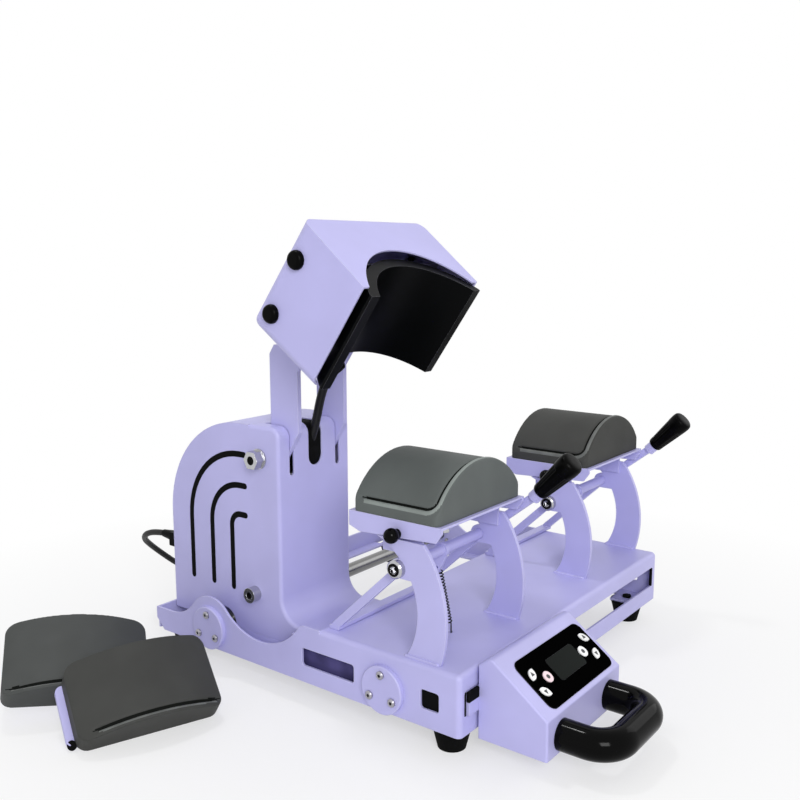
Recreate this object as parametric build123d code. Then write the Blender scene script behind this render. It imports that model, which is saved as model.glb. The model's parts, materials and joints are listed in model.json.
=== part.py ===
"""Cap heat press: a sliding electric press head on a folded steel base with two hat stations.

Everything is drawn from the lower front left corner of the chassis, with X to the right, Y to
the back and Z up. save() then moves each node so that the origin is the middle of the sole of
the front left foot. The press is drawn as it stands: head open and over the left station,
yokes down, all clamps tight.
"""

import math
import os

from build123d import *

os.makedirs("parts", exist_ok=True)

# ---------------------------------------------------------------- driving dimensions (mm)
# Chassis: one folded sheet with wavy side plates behind its deck
SHEET = 2.5
BEND = 5.0
CHASSIS_W = 424.0
CHASSIS_D = 408.0
CHASSIS_H = 57.5
DECK_DEPTH = 162.0
REAR_H = 24.5
SHOULDER_R = 10.0
VALLEY_R = 68.5
VALLEY_Y = 245.0
LOBE_R = 33.5
TAIL_R = 50.0
HEEL_CHAMFER = 12.0
LIP = 16.0
FOOT_PLATE = 40.0
FRONT_SLOT_END = 7.0
FRONT_SLOT_LOW = 18.0
FRONT_SLOT_HIGH = 41.0
WINDOW_LOW = 17.0
WINDOW_HIGH = 35.0
SMALL_WINDOW = (22.0, 42.0)
LONG_WINDOW = (119.0, 185.0)
WINDOW_R = 3.0

# Feet
FOOT_INSET = 25.0
FOOT_HEIGHT = 24.0
FOOT_TOP_R = 19.0
FOOT_SOLE_R = 13.0

# Rails and their end flanges
RAIL_R = 8.0
RAIL_Z = 22.5
RAIL_FRONT_Y = 83.0
RAIL_REAR_Y = 318.0
FLANGE_R = 23.0
FLANGE_T = 5.0
FLANGE_SCREW_PCR = 15.0
FLANGE_SCREW_HEAD_R = 4.0
FLANGE_SCREW_HEAD_H = 2.6
FLANGE_SCREW_R = 2.5

# Fits
RUNNING = 0.05
SEAT = 0.3
HOLE_GAP = 0.3

# Stations
STATION_X = (74.8, 352.8)
LEG_X = 65.9
LEG_T = 4.0
LEG_FRONT_C = (136.2, 92.5)
LEG_FRONT_R = 116.3
LEG_REAR_C = (121.4, 97.2)
LEG_REAR_R = 71.0
LEG_TOP = 163.5
YOKE_PIVOT = (72.0, 137.0)
YOKE_SHAFT_R = 4.0
LUG_R = 9.0
SADDLE_TOP = 179.7
SADDLE_T = 2.5
SADDLE_Y = (44.0, 104.0)
SADDLE_FLANGE_LOW = 150.0
SADDLE_FLANGE_Y = (48.0, 92.0)
CLAMP_POINT = (71.5, 169.5)
CLAMP_SCREW_R = 3.0

# Platens that sit on the saddles
PLATE_T = 2.0
PLATE_HALF_W = 69.0
PLATE_Y = (23.7, 127.6)
PAD_Y = (27.7, 123.0)
PAD_APEX = 230.0
PAD_R = 79.0
BALL_R = 7.0
BALL_STAND_OFF = 9.0
COLLAR_R = 4.5

# Yokes
YOKE_REAR = (151.0, CHASSIS_H + 5.1)
YOKE_STRIP_Y = (147.0, 159.0)
YOKE_STRIP_T = 4.2
LEFT_ARM_T = 5.0
RIGHT_ARM_X = 75.0
RIGHT_ARM_T = 7.0
YOKE_BAR_H = 8.0
YOKE_TUBE_R = 5.5
YOKE_LUG_R = 7.5
COLLAR = (12.8, 183.7)
GRIP_TIP = (-25.5, 221.9)
GRIP_R = (8.5, 12.0)
SPRING_LUG = (76.5, 119.0)
SPRING_HOLE_Y = 62.0
SPRING_R = 2.5

# Carriage
TONGUE_X = (10.0, 130.0)
CARRIAGE_TOP = 40.0
BOX_GAP = 3.0
TONGUE_FLANGE_LOW = 18.8
TONGUE_FLANGE_END = 56.0
BED_FLANGE_Y = (108.0, 206.0)
BED_FLANGE_LOW = 9.0
BEARING_R = 14.0
BEARING_L = 37.0
BLOCK_W = 40.0
BLOCK_H = 44.0
BLOCK_LOW = 5.0
FRONT_BLOCK_X = (44.0, 106.0)

# Tower
TOWER_X = 74.8
TOWER_HALF_W = 53.7
TOWER_FRONT = 232.5
TOWER_LOW = 21.0
TOWER_C = (290.0, 133.0)
TOWER_R = 109.5
BULLNOSE_R = 11.0
FLARE_R = 24.0
TOWER_BEND = 4.0
TOWER_FOOT_Y = 150.0
SEAM_Y = 275.0
COVER_T = 2.0
COVER_FLANGE = 12.0
VENT_RADII = (77.0, 44.0, 13.0)
VENT_W = 5.0
VENT_STUB_Y = 282.0
VENT_LOW = 65.0
ARM_SLOT_W = 7.0
ARM_SLOT_LOW = 192.0
ARM_SLOT_BACK = 268.0
CABLE_SLOT_W = 20.0
CABLE_SLOT_LOW = 197.0
CABLE_SLOT_BACK = 266.0
REAR_BEARING_HOLE_R = 17.0
REAR_LOBE_R = 20.0

# Arms
ARM_PIVOT = (260.1, 209.0)
ARM_SHAFT_R = 6.0
ARM_BOSS_R = 22.0
ARM_T = 5.0
ARM_X = 34.5
ARM_Y = (220.5, 258.5)
ARM_BAND_LOW = 237.0
ARM_ELBOW_Z = 305.0
FLOAT_PIN_R = 5.0
ARM_END_R = 14.0
HUB_R = 13.0
HORN_PIN = (277.6, 178.7)
HORN_PIN_R = 4.0
HORN_T = 5.0
HORN_HALF_GAP = 9.0

# Actuator
ACTUATOR_EYE = (269.8, 64.8)
ACTUATOR_BOLT_R = 5.0
ACTUATOR_TUBE_R = 16.0
ACTUATOR_TUBE = (14.0, 84.0)
ROD_R = 6.0
ROD_START = 40.0
ROD_EYE_R = 11.5
ROD_EYE_BORE_R = 6.0
ROD_EYE_T = 14.0
EYE_OFFSET = (1.53, -0.85)

# Head, drawn level and then swung open by HEAD_TILT about the arm pivot
HEAD_TILT = 55.0
HEAD_HALF_W = 88.0
HEAD_SHEET = 2.0
HEAD_FRONT_TOP = (11.0, 263.0)
HEAD_FRONT_LOW = (19.0, 172.7)
HEAD_REAR_LOW = (128.7, 172.8)
HEAD_REAR_TOP = (127.6, 267.5)
HEAD_REAR_R = 8.0
HEAD_SHOULDER_R = 10.0
HEAD_ARCH_R = 90.3
HEAD_ARCH_RISE = 48.6
HEAD_REAR_FLANGE = 34.0
HEATER_Y = (22.2, 125.4)
HEATER_RIM_Z = 163.0
HEATER_HALF_W = 84.0
HEATER_INNER_HALF_W = 73.0
HEATER_RISE = 43.0
HEATER_T = 11.0
BRACKET_Z = 219.5
BRACKET_T = 2.5
BRACKET_Y = (30.0, 112.0)
BRACKET_TOP = 256.0
HEAD_PIN = (75.0, 242.0)
EAR_X = 27.0
EAR_T = 3.0
KNOB_POINTS = ((44.8, 248.6), (103.9, 247.5))
KNOB_R = 9.0

# Control box
BOX_X = (25.0, 166.0)
BOX_WALL = 2.5
BOX_LOW = -8.0
BOX_TOP_REAR = (-4.0, 61.4)
BOX_APEX = (-14.0, 69.5)
BOX_BROW = (-71.0, 28.0)
BOX_EDGE_R = 2.0
BOX_APEX_R = 6.0
PANEL_X = (41.0, 160.0)
PANEL_S = (14.5, 66.0)
PANEL_R = 8.0
PANEL_PROUD = 0.6
PANEL_SUNK = 1.5
PANEL_LEDGE = 3.0
DISPLAY_X = (80.0, 128.0)
DISPLAY_S = (28.0, 51.0)
BUTTON_PROUD = 1.4
BUTTON_STEM = 3.5
EYE_BUTTON = (13.0, 8.0)
ROUND_BUTTON_R = 5.5
BUTTONS = {
    "button_time_up": (151.4, 30.9, -45.0),
    "button_time_down": (148.3, 49.3, 45.0),
    "button_set": (134.3, 40.9, None),
    "button_temp_up": (52.5, 31.7, 45.0),
    "button_power": (67.6, 40.8, None),
    "button_temp_down": (50.8, 49.7, -45.0),
}
BOARD_DEPTH = 5.6
BOARD_T = 1.6
SWITCH_H = 1.6

# Handle
HANDLE_R = 14.0
HANDLE_X = (50.5, 142.0)
HANDLE_Z = 7.5
HANDLE_REACH = 46.0
HANDLE_CORNER_R = 24.0

# Power inlet, connector and lead
INLET_X = 45.0
INLET_Z = 91.0
INLET_W = 30.0
INLET_H = 60.0
INLET_DEPTH = 26.0
ROCKER_Z = 122.0
ROCKER_SIZE = (13.0, 18.0)
CONNECTOR = (24.0, 16.0)
CONNECTOR_OUT = 24.0
RELIEF_L = 24.0
CORD_R = 3.5
CORD_ROUTE = [
    (45.0, 448.0, 91.0),
    (44.5, 465.0, 89.5),
    (46.0, 484.0, 83.0),
    (56.0, 501.0, 71.0),
    (74.0, 511.0, 56.0),
    (95.0, 514.0, 38.0),
    (116.0, 513.0, 20.0),
    (138.0, 511.0, 7.0),
    (166.0, 509.0, -4.0),
    (200.0, 506.5, -9.5),
    (248.0, 505.5, -10.0),
]
COIL_C = (245.0, 467.0)
COIL_R = 38.5
COIL_LAYERS = 3
CORD_TAIL = [
    (238.0, 428.7, -20.4),
    (219.0, 430.0, -20.4),
    (200.0, 436.0, -20.4),
    (184.0, 447.0, -20.4),
]
PLUG = (36.0, 24.0, 18.0)
PLUG_RELIEF_L = 20.0
BLADE = (17.0, 6.3, 1.5)
BLADE_PITCH = 12.7

# Spare platens that lie on the floor: middle of the front edge, width way, depth way, width
# and depth, height of the side walls and rise of the arch
SPARE_CORNER_R = 12.0
SPARE_PLATE_INSET = 0.5
SPARE_FLANGE = 17.0
SPARES = (
    ((-149.8, 340.4, -10.2), (0.846, -0.517, -0.128), (0.512, 0.722, 0.465), (133.0, 84.0), (14.0, 14.7)),
    ((-125.9, 257.3, -22.7), (0.939, -0.343, 0.001), (0.259, 0.71, 0.655), (132.3, 74.0), (17.5, 18.0)),
)


# ---------------------------------------------------------------- helpers
def box(x0, x1, y0, y1, z0, z1):
    """A block between two opposite corners."""
    return Pos((x0 + x1) / 2, (y0 + y1) / 2, (z0 + z1) / 2) * Box(x1 - x0, y1 - y0, z1 - z0)


def along_x(outline, x0, x1):
    """Extrude an outline drawn in Y and Z from x0 to x1."""
    return extrude(Plane.YZ.offset(x0) * outline, amount=x1 - x0, dir=(1, 0, 0))


def along_y(outline, y0, y1):
    """Extrude an outline drawn in X and Z from y0 to y1."""
    return extrude(Plane.XZ.offset(-y0) * outline, amount=y1 - y0, dir=(0, 1, 0))


def along_z(outline, z0, z1):
    """Extrude an outline drawn in X and Y from z0 to z1."""
    return extrude(Plane.XY.offset(z0) * outline, amount=z1 - z0, dir=(0, 0, 1))


def polygon(*points):
    """A straight-sided outline, its points taken the same way round whatever their order."""
    area = sum(a[0] * b[1] - b[0] * a[1] for a, b in zip(points, points[1:] + points[:1]))
    return Polygon(*(points if area > 0 else points[::-1]), align=None)


def disc(centre, radius):
    """A round outline about a point."""
    return Pos(centre[0], centre[1]) * Circle(radius)


def rectangle(u0, u1, v0, v1, radius=0.0):
    """A rectangular outline between two corners, its corners rounded by radius."""
    middle = Pos((u0 + u1) / 2, (v0 + v1) / 2)
    if radius > 0:
        return middle * RectangleRounded(u1 - u0, v1 - v0, radius)
    return middle * Rectangle(u1 - u0, v1 - v0)


def bar(start, end, start_r, end_r):
    """A straight bar outline with round ends of two radii."""
    length = math.dist(start, end)
    turn = math.degrees(math.atan2(end[1] - start[1], end[0] - start[0]))
    lean = math.asin((start_r - end_r) / length)
    side = [
        (start_r * math.sin(lean), start_r * math.cos(lean)),
        (length + end_r * math.sin(lean), end_r * math.cos(lean)),
    ]
    body = polygon(*side, *[(u, -v) for u, v in reversed(side)])
    body = Pos(*start) * Rot(0, 0, turn) * body
    return body + disc(start, start_r) + disc(end, end_r)


def arc_about(centre, start, end):
    """The shorter arc about a centre from start to end."""
    away = [(start[i] - centre[i]) + (end[i] - centre[i]) for i in (0, 1)]
    scale = math.dist(centre, start) / math.hypot(*away)
    return ThreePointArc(start, (centre[0] + away[0] * scale, centre[1] + away[1] * scale), end)


def toward(centre, radius, other):
    """The point at radius from a centre on the line to another point."""
    share = radius / math.dist(centre, other)
    return tuple(centre[i] + (other[i] - centre[i]) * share for i in (0, 1))


def turned(point, pivot, degrees):
    """A point in Y and Z turned about a pivot, from Y towards Z."""
    angle = math.radians(degrees)
    y, z = point[0] - pivot[0], point[1] - pivot[1]
    return (
        pivot[0] + y * math.cos(angle) - z * math.sin(angle),
        pivot[1] + y * math.sin(angle) + z * math.cos(angle),
    )


def float_pin():
    """Where the head's float pin rests, with the head open."""
    return turned(HEAD_PIN, ARM_PIVOT, -HEAD_TILT)


def swing_open(part):
    """Turn a part of the level head back about the arm pivot to where it rests."""
    pivot = Pos(0, ARM_PIVOT[0], ARM_PIVOT[1])
    return pivot * Rot(-HEAD_TILT, 0, 0) * pivot.inverse() * part


def save(node, *shapes):
    """Write one node, moved so that the origin is the sole of the front left foot."""
    solids = [solid for shape in shapes for solid in shape.solids()]
    place = Location((-FOOT_INSET, -FOOT_INSET, FOOT_HEIGHT))
    export_step(Compound(solids).moved(place), f"parts/{node}.step")


# ---------------------------------------------------------------- chassis
def side_outline():
    """Side plate: flat behind the deck, a wave down and up round the rear rail, then a heel."""
    rail = (RAIL_REAR_Y, RAIL_Z)
    fall = math.sqrt((VALLEY_R + LOBE_R) ** 2 - (RAIL_REAR_Y - VALLEY_Y) ** 2)
    valley = (VALLEY_Y, RAIL_Z + fall)
    shoulder_z = CHASSIS_H - SHOULDER_R
    run = math.sqrt((VALLEY_R + SHOULDER_R) ** 2 - (valley[1] - shoulder_z) ** 2)
    shoulder = (VALLEY_Y - run, shoulder_z)
    tail_z = REAR_H + TAIL_R
    run = math.sqrt((LOBE_R + TAIL_R) ** 2 - (tail_z - RAIL_Z) ** 2)
    tail = (RAIL_REAR_Y + run, tail_z)
    crest = toward(shoulder, SHOULDER_R, valley)
    rise = toward(valley, VALLEY_R, rail)
    drop = toward(rail, LOBE_R, tail)
    start = (shoulder[0], CHASSIS_H)
    end = (tail[0], REAR_H)
    return make_face([
        arc_about(shoulder, start, crest).edge(),
        arc_about(valley, crest, rise).edge(),
        arc_about(rail, rise, drop).edge(),
        arc_about(tail, drop, end).edge(),
        Line(end, (CHASSIS_D, REAR_H)).edge(),
        Line((CHASSIS_D, REAR_H), (CHASSIS_D, HEEL_CHAMFER)).edge(),
        Line((CHASSIS_D, HEEL_CHAMFER), (CHASSIS_D - HEEL_CHAMFER, 0)).edge(),
        Line((CHASSIS_D - HEEL_CHAMFER, 0), (DECK_DEPTH, 0)).edge(),
        Line((DECK_DEPTH, 0), (DECK_DEPTH, CHASSIS_H)).edge(),
        Line((DECK_DEPTH, CHASSIS_H), start).edge(),
    ])


def folded_box(x0, x1, y0, y1, z0, z1, radius):
    """A block whose top and front edges are bends, square at its back and bottom."""
    block = box(x0, x1, y0, y1, z0, z1)
    top = [e for e in block.edges() if abs(e.center().Z - z1) < 0.1 and e.center().Y < y1 - 0.1]
    front = block.edges().filter_by(Axis.Z).sort_by(Axis.Y)[:2]
    return fillet(top + list(front), radius)


def base_shell():
    """Deck, front and sides of one sheet, with bent lips and foot plates along the bottom."""
    shell = folded_box(0, CHASSIS_W, 0, DECK_DEPTH, 0, CHASSIS_H, BEND)
    inside = folded_box(
        SHEET, CHASSIS_W - SHEET, SHEET, DECK_DEPTH + 1, -1, CHASSIS_H - SHEET, BEND - SHEET
    )
    shell -= inside
    outline = side_outline()
    shell += along_x(outline, 0, SHEET)
    shell += along_x(outline, CHASSIS_W - SHEET, CHASSIS_W)
    inner = CHASSIS_W - SHEET
    back = CHASSIS_D - HEEL_CHAMFER
    shell += box(SHEET, inner, SHEET, SHEET + LIP, 0, SHEET)
    for near, far in ((SHEET, SHEET + LIP), (inner - LIP, inner)):
        shell += box(near, far, SHEET, back, 0, SHEET)
    for near, far in ((SHEET, FOOT_PLATE), (CHASSIS_W - FOOT_PLATE, inner)):
        shell += box(near, far, SHEET, FOOT_PLATE, 0, SHEET)
        shell += box(near, far, CHASSIS_D - FOOT_PLATE, back, 0, SHEET)
    windows = rectangle(*SMALL_WINDOW, WINDOW_LOW, WINDOW_HIGH, WINDOW_R)
    windows += rectangle(*LONG_WINDOW, WINDOW_LOW, WINDOW_HIGH, WINDOW_R)
    for rail_y in (RAIL_FRONT_Y, RAIL_REAR_Y):
        windows += disc((rail_y, RAIL_Z), RAIL_R)
        for point in flange_screw_points(rail_y):
            windows += disc(point, FLANGE_SCREW_R)
    shell -= along_x(windows, -1, CHASSIS_W + 1)
    slot_end = CHASSIS_W - 11.0
    slot = rectangle(FRONT_SLOT_END, slot_end, FRONT_SLOT_LOW, FRONT_SLOT_HIGH, WINDOW_R)
    shell -= along_y(slot, -1, SHEET + 1)
    for x in STATION_X:
        shell -= along_z(disc((x, SPRING_HOLE_Y), SPRING_R + 0.5), CHASSIS_H - 4, CHASSIS_H + 1)
    for x, y in foot_points():
        shell -= along_z(disc((x, y), FLANGE_SCREW_R), -1, SHEET + 1)
    return shell


def foot_points():
    """Where the four feet are screwed on."""
    return [
        (x, y)
        for x in (FOOT_INSET, CHASSIS_W - FOOT_INSET)
        for y in (FOOT_INSET, CHASSIS_D - FOOT_INSET)
    ]


def base_rear_wall():
    """Low wall across the back with a lip bent forward along its bottom."""
    inner = CHASSIS_W - SHEET
    wall = box(SHEET, inner, CHASSIS_D - SHEET, CHASSIS_D, 0, REAR_H)
    near = FOOT_PLATE + SEAT
    lip = box(near, CHASSIS_W - near, CHASSIS_D - SHEET - LIP, CHASSIS_D - SHEET, 0, SHEET)
    return wall + lip


def rubber_feet():
    """Tapered rubber feet with a screw boss that stands through the foot plate."""
    profile = polygon(
        (0, -FOOT_HEIGHT), (FOOT_SOLE_R, -FOOT_HEIGHT), (FOOT_TOP_R - 1, -4), (FOOT_TOP_R, -2),
        (FOOT_TOP_R, 0), (FLANGE_SCREW_R, 0), (FLANGE_SCREW_R, SHEET), (5, SHEET), (5, 5), (0, 5),
    )
    foot = revolve(Plane.XZ * profile, Axis.Z)
    return [Pos(x, y, 0) * foot for x, y in foot_points()]


def rails():
    """Two ground shafts that end in the flanges."""
    reach = FLANGE_T - 2.0
    shaft = along_x(disc((RAIL_FRONT_Y, RAIL_Z), RAIL_R), -reach, CHASSIS_W + reach)
    return [shaft, Pos(0, RAIL_REAR_Y - RAIL_FRONT_Y, 0) * shaft]


def flange_screw_points(rail_y):
    """Three screws round a rail end, one straight above it."""
    return [
        (
            rail_y + FLANGE_SCREW_PCR * math.cos(math.radians(angle)),
            RAIL_Z + FLANGE_SCREW_PCR * math.sin(math.radians(angle)),
        )
        for angle in (90, -30, -150)
    ]


def rail_flanges():
    """Round caps that hold the rail ends against the side plates."""
    caps = []
    for rail_y in (RAIL_FRONT_Y, RAIL_REAR_Y):
        centre = (rail_y, RAIL_Z)
        for side, x in ((-1, 0.0), (1, CHASSIS_W)):
            out = x + side * FLANGE_T
            cap = along_x(disc(centre, FLANGE_R), min(x, out), max(x, out))
            rim = cap.faces().sort_by(Axis.X)[0 if side < 0 else -1].edges()
            cap = chamfer(rim, 0.8)
            floor = x + side * (FLANGE_T - 2.0)
            cap -= along_x(disc(centre, RAIL_R), min(x, floor), max(x, floor))
            for point in flange_screw_points(rail_y):
                cap -= along_x(disc(point, FLANGE_SCREW_R), min(x, out), max(x, out))
            caps.append(cap)
    return caps


def flange_screws():
    """Button head screws through each flange and side plate."""
    screws = []
    for rail_y in (RAIL_FRONT_Y, RAIL_REAR_Y):
        for y, z in flange_screw_points(rail_y):
            shank = along_x(disc((y, z), FLANGE_SCREW_R), -FLANGE_T, SHEET + 2)
            head = along_x(
                disc((y, z), FLANGE_SCREW_HEAD_R), -FLANGE_T - FLANGE_SCREW_HEAD_H, -FLANGE_T
            )
            head = chamfer(head.faces().sort_by(Axis.X)[0].edges(), 1.0)
            socket = along_x(
                Pos(y, z) * RegularPolygon(1.7, 6), -FLANGE_T - FLANGE_SCREW_HEAD_H, -FLANGE_T - 1
            )
            screw = shank + head - socket
            screws.append(screw)
            screws.append(mirror(screw, Plane.YZ.offset(CHASSIS_W / 2)))
    return screws


# ---------------------------------------------------------------- stations
def leg_outline():
    """Crescent leg between two arcs, with a lug for the yoke shaft and a notch for the clamp."""
    leg = disc(LEG_FRONT_C, LEG_FRONT_R) - disc(LEG_REAR_C, LEG_REAR_R)
    leg &= rectangle(0, LEG_REAR_C[0] - 10, CHASSIS_H, LEG_TOP)
    web = (YOKE_PIVOT[0] - 1.6 * LUG_R, YOKE_PIVOT[1])
    leg += bar(web, YOKE_PIVOT, LUG_R, LUG_R)
    leg -= disc(YOKE_PIVOT, YOKE_SHAFT_R)
    leg -= disc(CLAMP_POINT, CLAMP_SCREW_R + HOLE_GAP)
    return leg


def legs(x):
    """The pair of legs of one station."""
    outline = leg_outline()
    return [
        along_x(outline, x + side * LEG_X - LEG_T / 2, x + side * LEG_X + LEG_T / 2)
        for side in (-1, 1)
    ]


def saddle(x):
    """Folded plate that joins the tops of two legs and carries the platen."""
    half = LEG_X - LEG_T / 2
    plate = box(x - half, x + half, *SADDLE_Y, SADDLE_TOP - SADDLE_T, SADDLE_TOP)
    side = rectangle(*SADDLE_FLANGE_Y, SADDLE_FLANGE_LOW, SADDLE_TOP)
    side -= disc(CLAMP_POINT, CLAMP_SCREW_R + HOLE_GAP)
    for start in (x - half, x + half - SADDLE_T):
        plate += along_x(side, start, start + SADDLE_T)
    nut = Pos(*CLAMP_POINT) * RegularPolygon(6.5, 6)
    nut -= disc(CLAMP_POINT, CLAMP_SCREW_R + HOLE_GAP)
    plate += along_x(nut, x - half + SADDLE_T, x - half + SADDLE_T + 5)
    return plate - along_z(disc((x, YOKE_PIVOT[0] - 2), 4), SADDLE_TOP - 4, SADDLE_TOP)


def saddle_bolts():
    """Levelling screw and nuts under the middle of each saddle."""
    y = YOKE_PIVOT[0] - 2
    under = SADDLE_TOP - SADDLE_T
    bolts = []
    for x in STATION_X:
        bolt = along_z(disc((x, y), 4), under - 22, SADDLE_TOP - 0.5)
        bolt += along_z(disc((x, y), 10), under - 3, under)
        bolt += along_z(Pos(x, y) * RegularPolygon(7.5, 6), under - 10, under - 3)
        bolt += along_z(disc((x, y), 6.5), under - 22, under - 14)
        bolts.append(bolt)
    return bolts


def yoke_shafts():
    """Shoulder bolts that run through both legs and carry the yokes."""
    shafts = []
    for x in STATION_X:
        left = x - LEG_X - LEG_T / 2
        right = x + RIGHT_ARM_X + RIGHT_ARM_T / 2 + SEAT
        shaft = along_x(disc(YOKE_PIVOT, YOKE_SHAFT_R), left, right)
        head = along_x(disc(YOKE_PIVOT, 8.5), left - 6.5, left)
        head = chamfer(head.faces().sort_by(Axis.X)[0].edges(), 1.5)
        head -= along_x(Pos(*YOKE_PIVOT) * RegularPolygon(4, 6), left - 6.5, left - 2.5)
        nut = along_x(Pos(*YOKE_PIVOT) * RegularPolygon(8.5, 6), right, right + 7)
        shafts.append(shaft + head + nut)
    return shafts


def springs(x):
    """Outer shape of the return spring between the deck and the yoke lug."""
    start = Vector(x, SPRING_HOLE_Y + 0.6, CHASSIS_H + SEAT)
    end = Vector(x, *SPRING_LUG)
    way = (end - start).normalized()
    plane = Plane(start + way * 2, z_dir=way)
    return extrude(plane * Circle(SPRING_R), amount=(end - start).length - 6.6)


def yoke(x):
    """See-saw frame: left arm, right lever, rear strip, pivot tube and spring lug."""
    left = x - LEG_X + LEG_T / 2 + SEAT * 2
    right = x + RIGHT_ARM_X - RIGHT_ARM_T / 2
    bore = disc(YOKE_PIVOT, YOKE_SHAFT_R + RUNNING)
    eye = disc(YOKE_PIVOT, YOKE_LUG_R)
    arm = bar(YOKE_PIVOT, YOKE_REAR, YOKE_BAR_H / 2, YOKE_BAR_H / 2) + eye
    frame = along_x(arm - bore, left, left + LEFT_ARM_T)
    lever = arm + bar(YOKE_PIVOT, COLLAR, YOKE_BAR_H / 2, YOKE_BAR_H / 2)
    frame += along_x(lever - bore, right, right + RIGHT_ARM_T)
    strip_low = CHASSIS_H + SEAT
    strip = rectangle(*YOKE_STRIP_Y, strip_low, strip_low + YOKE_STRIP_T, 1)
    frame += along_x(strip, left, right + RIGHT_ARM_T)
    tube_end = x + LEG_X - LEG_T / 2 - SEAT * 2
    frame += along_x(disc(YOKE_PIVOT, YOKE_TUBE_R) - bore, left + LEFT_ARM_T, tube_end)
    lug = bar(YOKE_PIVOT, SPRING_LUG, YOKE_LUG_R, 4) - bore - disc(SPRING_LUG, 1.6)
    frame += along_x(lug, x - 2, x + 2)
    lever_x = x + RIGHT_ARM_X
    start = Vector(lever_x, *COLLAR)
    way = (Vector(lever_x, *GRIP_TIP) - start).normalized()
    plane = Plane(start - way * 5, z_dir=way)
    return frame + extrude(plane * Circle(6.5), amount=9)


def yoke_grip(x):
    """Tapered round grip on the lever, with a domed end."""
    start = Vector(x + RIGHT_ARM_X, *COLLAR)
    end = Vector(x + RIGHT_ARM_X, *GRIP_TIP)
    length = (end - start).length
    profile = polygon(
        (0, 4), (GRIP_R[0] - 1, 4), (GRIP_R[0], 5.5), (GRIP_R[1] - 1.5, length * 0.72),
        (GRIP_R[1], length * 0.88), (GRIP_R[1] - 2, length - 1.5), (GRIP_R[1] - 5, length),
        (0, length),
    )
    plane = Plane(start, x_dir=(1, 0, 0), z_dir=end - start)
    return plane * revolve(Plane.XZ * profile, Axis.Z)


def platen_plate(x):
    """Folded steel plate under a platen, with a side flange each side and a clamp notch."""
    low = SADDLE_TOP + SEAT
    top = low + PLATE_T
    plate = box(x - PLATE_HALF_W, x + PLATE_HALF_W, *PLATE_Y, low, top)
    flange = polygon(
        (PLATE_Y[0], top), (PLATE_Y[0], top - 5), (PLATE_Y[0] + 6.5, top - 14.2),
        (PLATE_Y[1] - 12.6, top - 18.5), (PLATE_Y[1], top - 14), (PLATE_Y[1], top),
    )
    notch = disc(CLAMP_POINT, CLAMP_SCREW_R + HOLE_GAP)
    notch += rectangle(
        CLAMP_POINT[0] - CLAMP_SCREW_R - HOLE_GAP, CLAMP_POINT[0] + CLAMP_SCREW_R + HOLE_GAP,
        CLAMP_POINT[1] - 10, CLAMP_POINT[1],
    )
    for start in (x - PLATE_HALF_W, x + PLATE_HALF_W - PLATE_T):
        plate += along_x(flange - notch, start, start + PLATE_T)
    return plate


def pad_outline(half_w, apex, radius, low):
    """Front view of a platen pad: upright sides and an arched top."""
    edge = apex - radius + math.sqrt(radius**2 - half_w**2)
    return make_face([
        Line((-half_w, low), (half_w, low)).edge(),
        Line((half_w, low), (half_w, edge)).edge(),
        ThreePointArc((half_w, edge), (0, apex), (-half_w, edge)).edge(),
        Line((-half_w, edge), (-half_w, low)).edge(),
    ])


def platen_pad(x):
    """Silicone pad with an arched top."""
    low = SADDLE_TOP + SEAT + PLATE_T
    outline = pad_outline(PLATE_HALF_W, PAD_APEX, PAD_R, low)
    return along_y(Pos(x, 0) * outline, *PAD_Y)


def clamp_knob(x):
    """Ball knob whose screw passes under the platen flange into the saddle nut."""
    face = BALL_STAND_OFF - SEAT
    tip = BALL_STAND_OFF + PLATE_HALF_W - LEG_X + LEG_T / 2 + 9
    stem = math.sqrt(BALL_R**2 - COLLAR_R**2)
    profile = make_face([
        ThreePointArc((-BALL_R, 0), (0, BALL_R), (stem, COLLAR_R)).edge(),
        Line((stem, COLLAR_R), (face, COLLAR_R)).edge(),
        Line((face, COLLAR_R), (face, CLAMP_SCREW_R)).edge(),
        Line((face, CLAMP_SCREW_R), (tip, CLAMP_SCREW_R)).edge(),
        Line((tip, CLAMP_SCREW_R), (tip, 0)).edge(),
        Line((tip, 0), (-BALL_R, 0)).edge(),
    ])
    knob = revolve(profile, Axis.X)
    return Pos(x - PLATE_HALF_W - BALL_STAND_OFF, *CLAMP_POINT) * knob


# ---------------------------------------------------------------- carriage
def carriage_plate():
    """Flat bed on the rails, flanged at its sides, with a tongue that passes out of the front slot."""
    under = CARRIAGE_TOP - SHEET
    front = -BOX_GAP
    bed = box(*TONGUE_X, front, TOWER_FRONT - FLARE_R, under, CARRIAGE_TOP)
    inner = TOWER_HALF_W - SHEET - SEAT
    bed += box(
        TOWER_X - inner, TOWER_X + inner, TOWER_FRONT - FLARE_R - 1,
        TOWER_C[0] + TOWER_R - COVER_FLANGE - SEAT, under, CARRIAGE_TOP,
    )
    for near in (TONGUE_X[0], TONGUE_X[1] - SHEET):
        bed += box(near, near + SHEET, front, TONGUE_FLANGE_END, TONGUE_FLANGE_LOW, under)
        bed += box(near, near + SHEET, *BED_FLANGE_Y, BED_FLANGE_LOW, under)
    bed += box(*TONGUE_X, front, front + SHEET, TONGUE_FLANGE_LOW, under)
    return bed


def bearing_block_places():
    """Middle of each bearing block: two on the front rail, two between the tower sides."""
    inner = TOWER_HALF_W - SHEET - SEAT - BLOCK_W / 2
    rear = (TOWER_X - inner, TOWER_X + inner)
    places = [(x, RAIL_FRONT_Y) for x in FRONT_BLOCK_X]
    return places + [(x, RAIL_REAR_Y) for x in rear]


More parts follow.
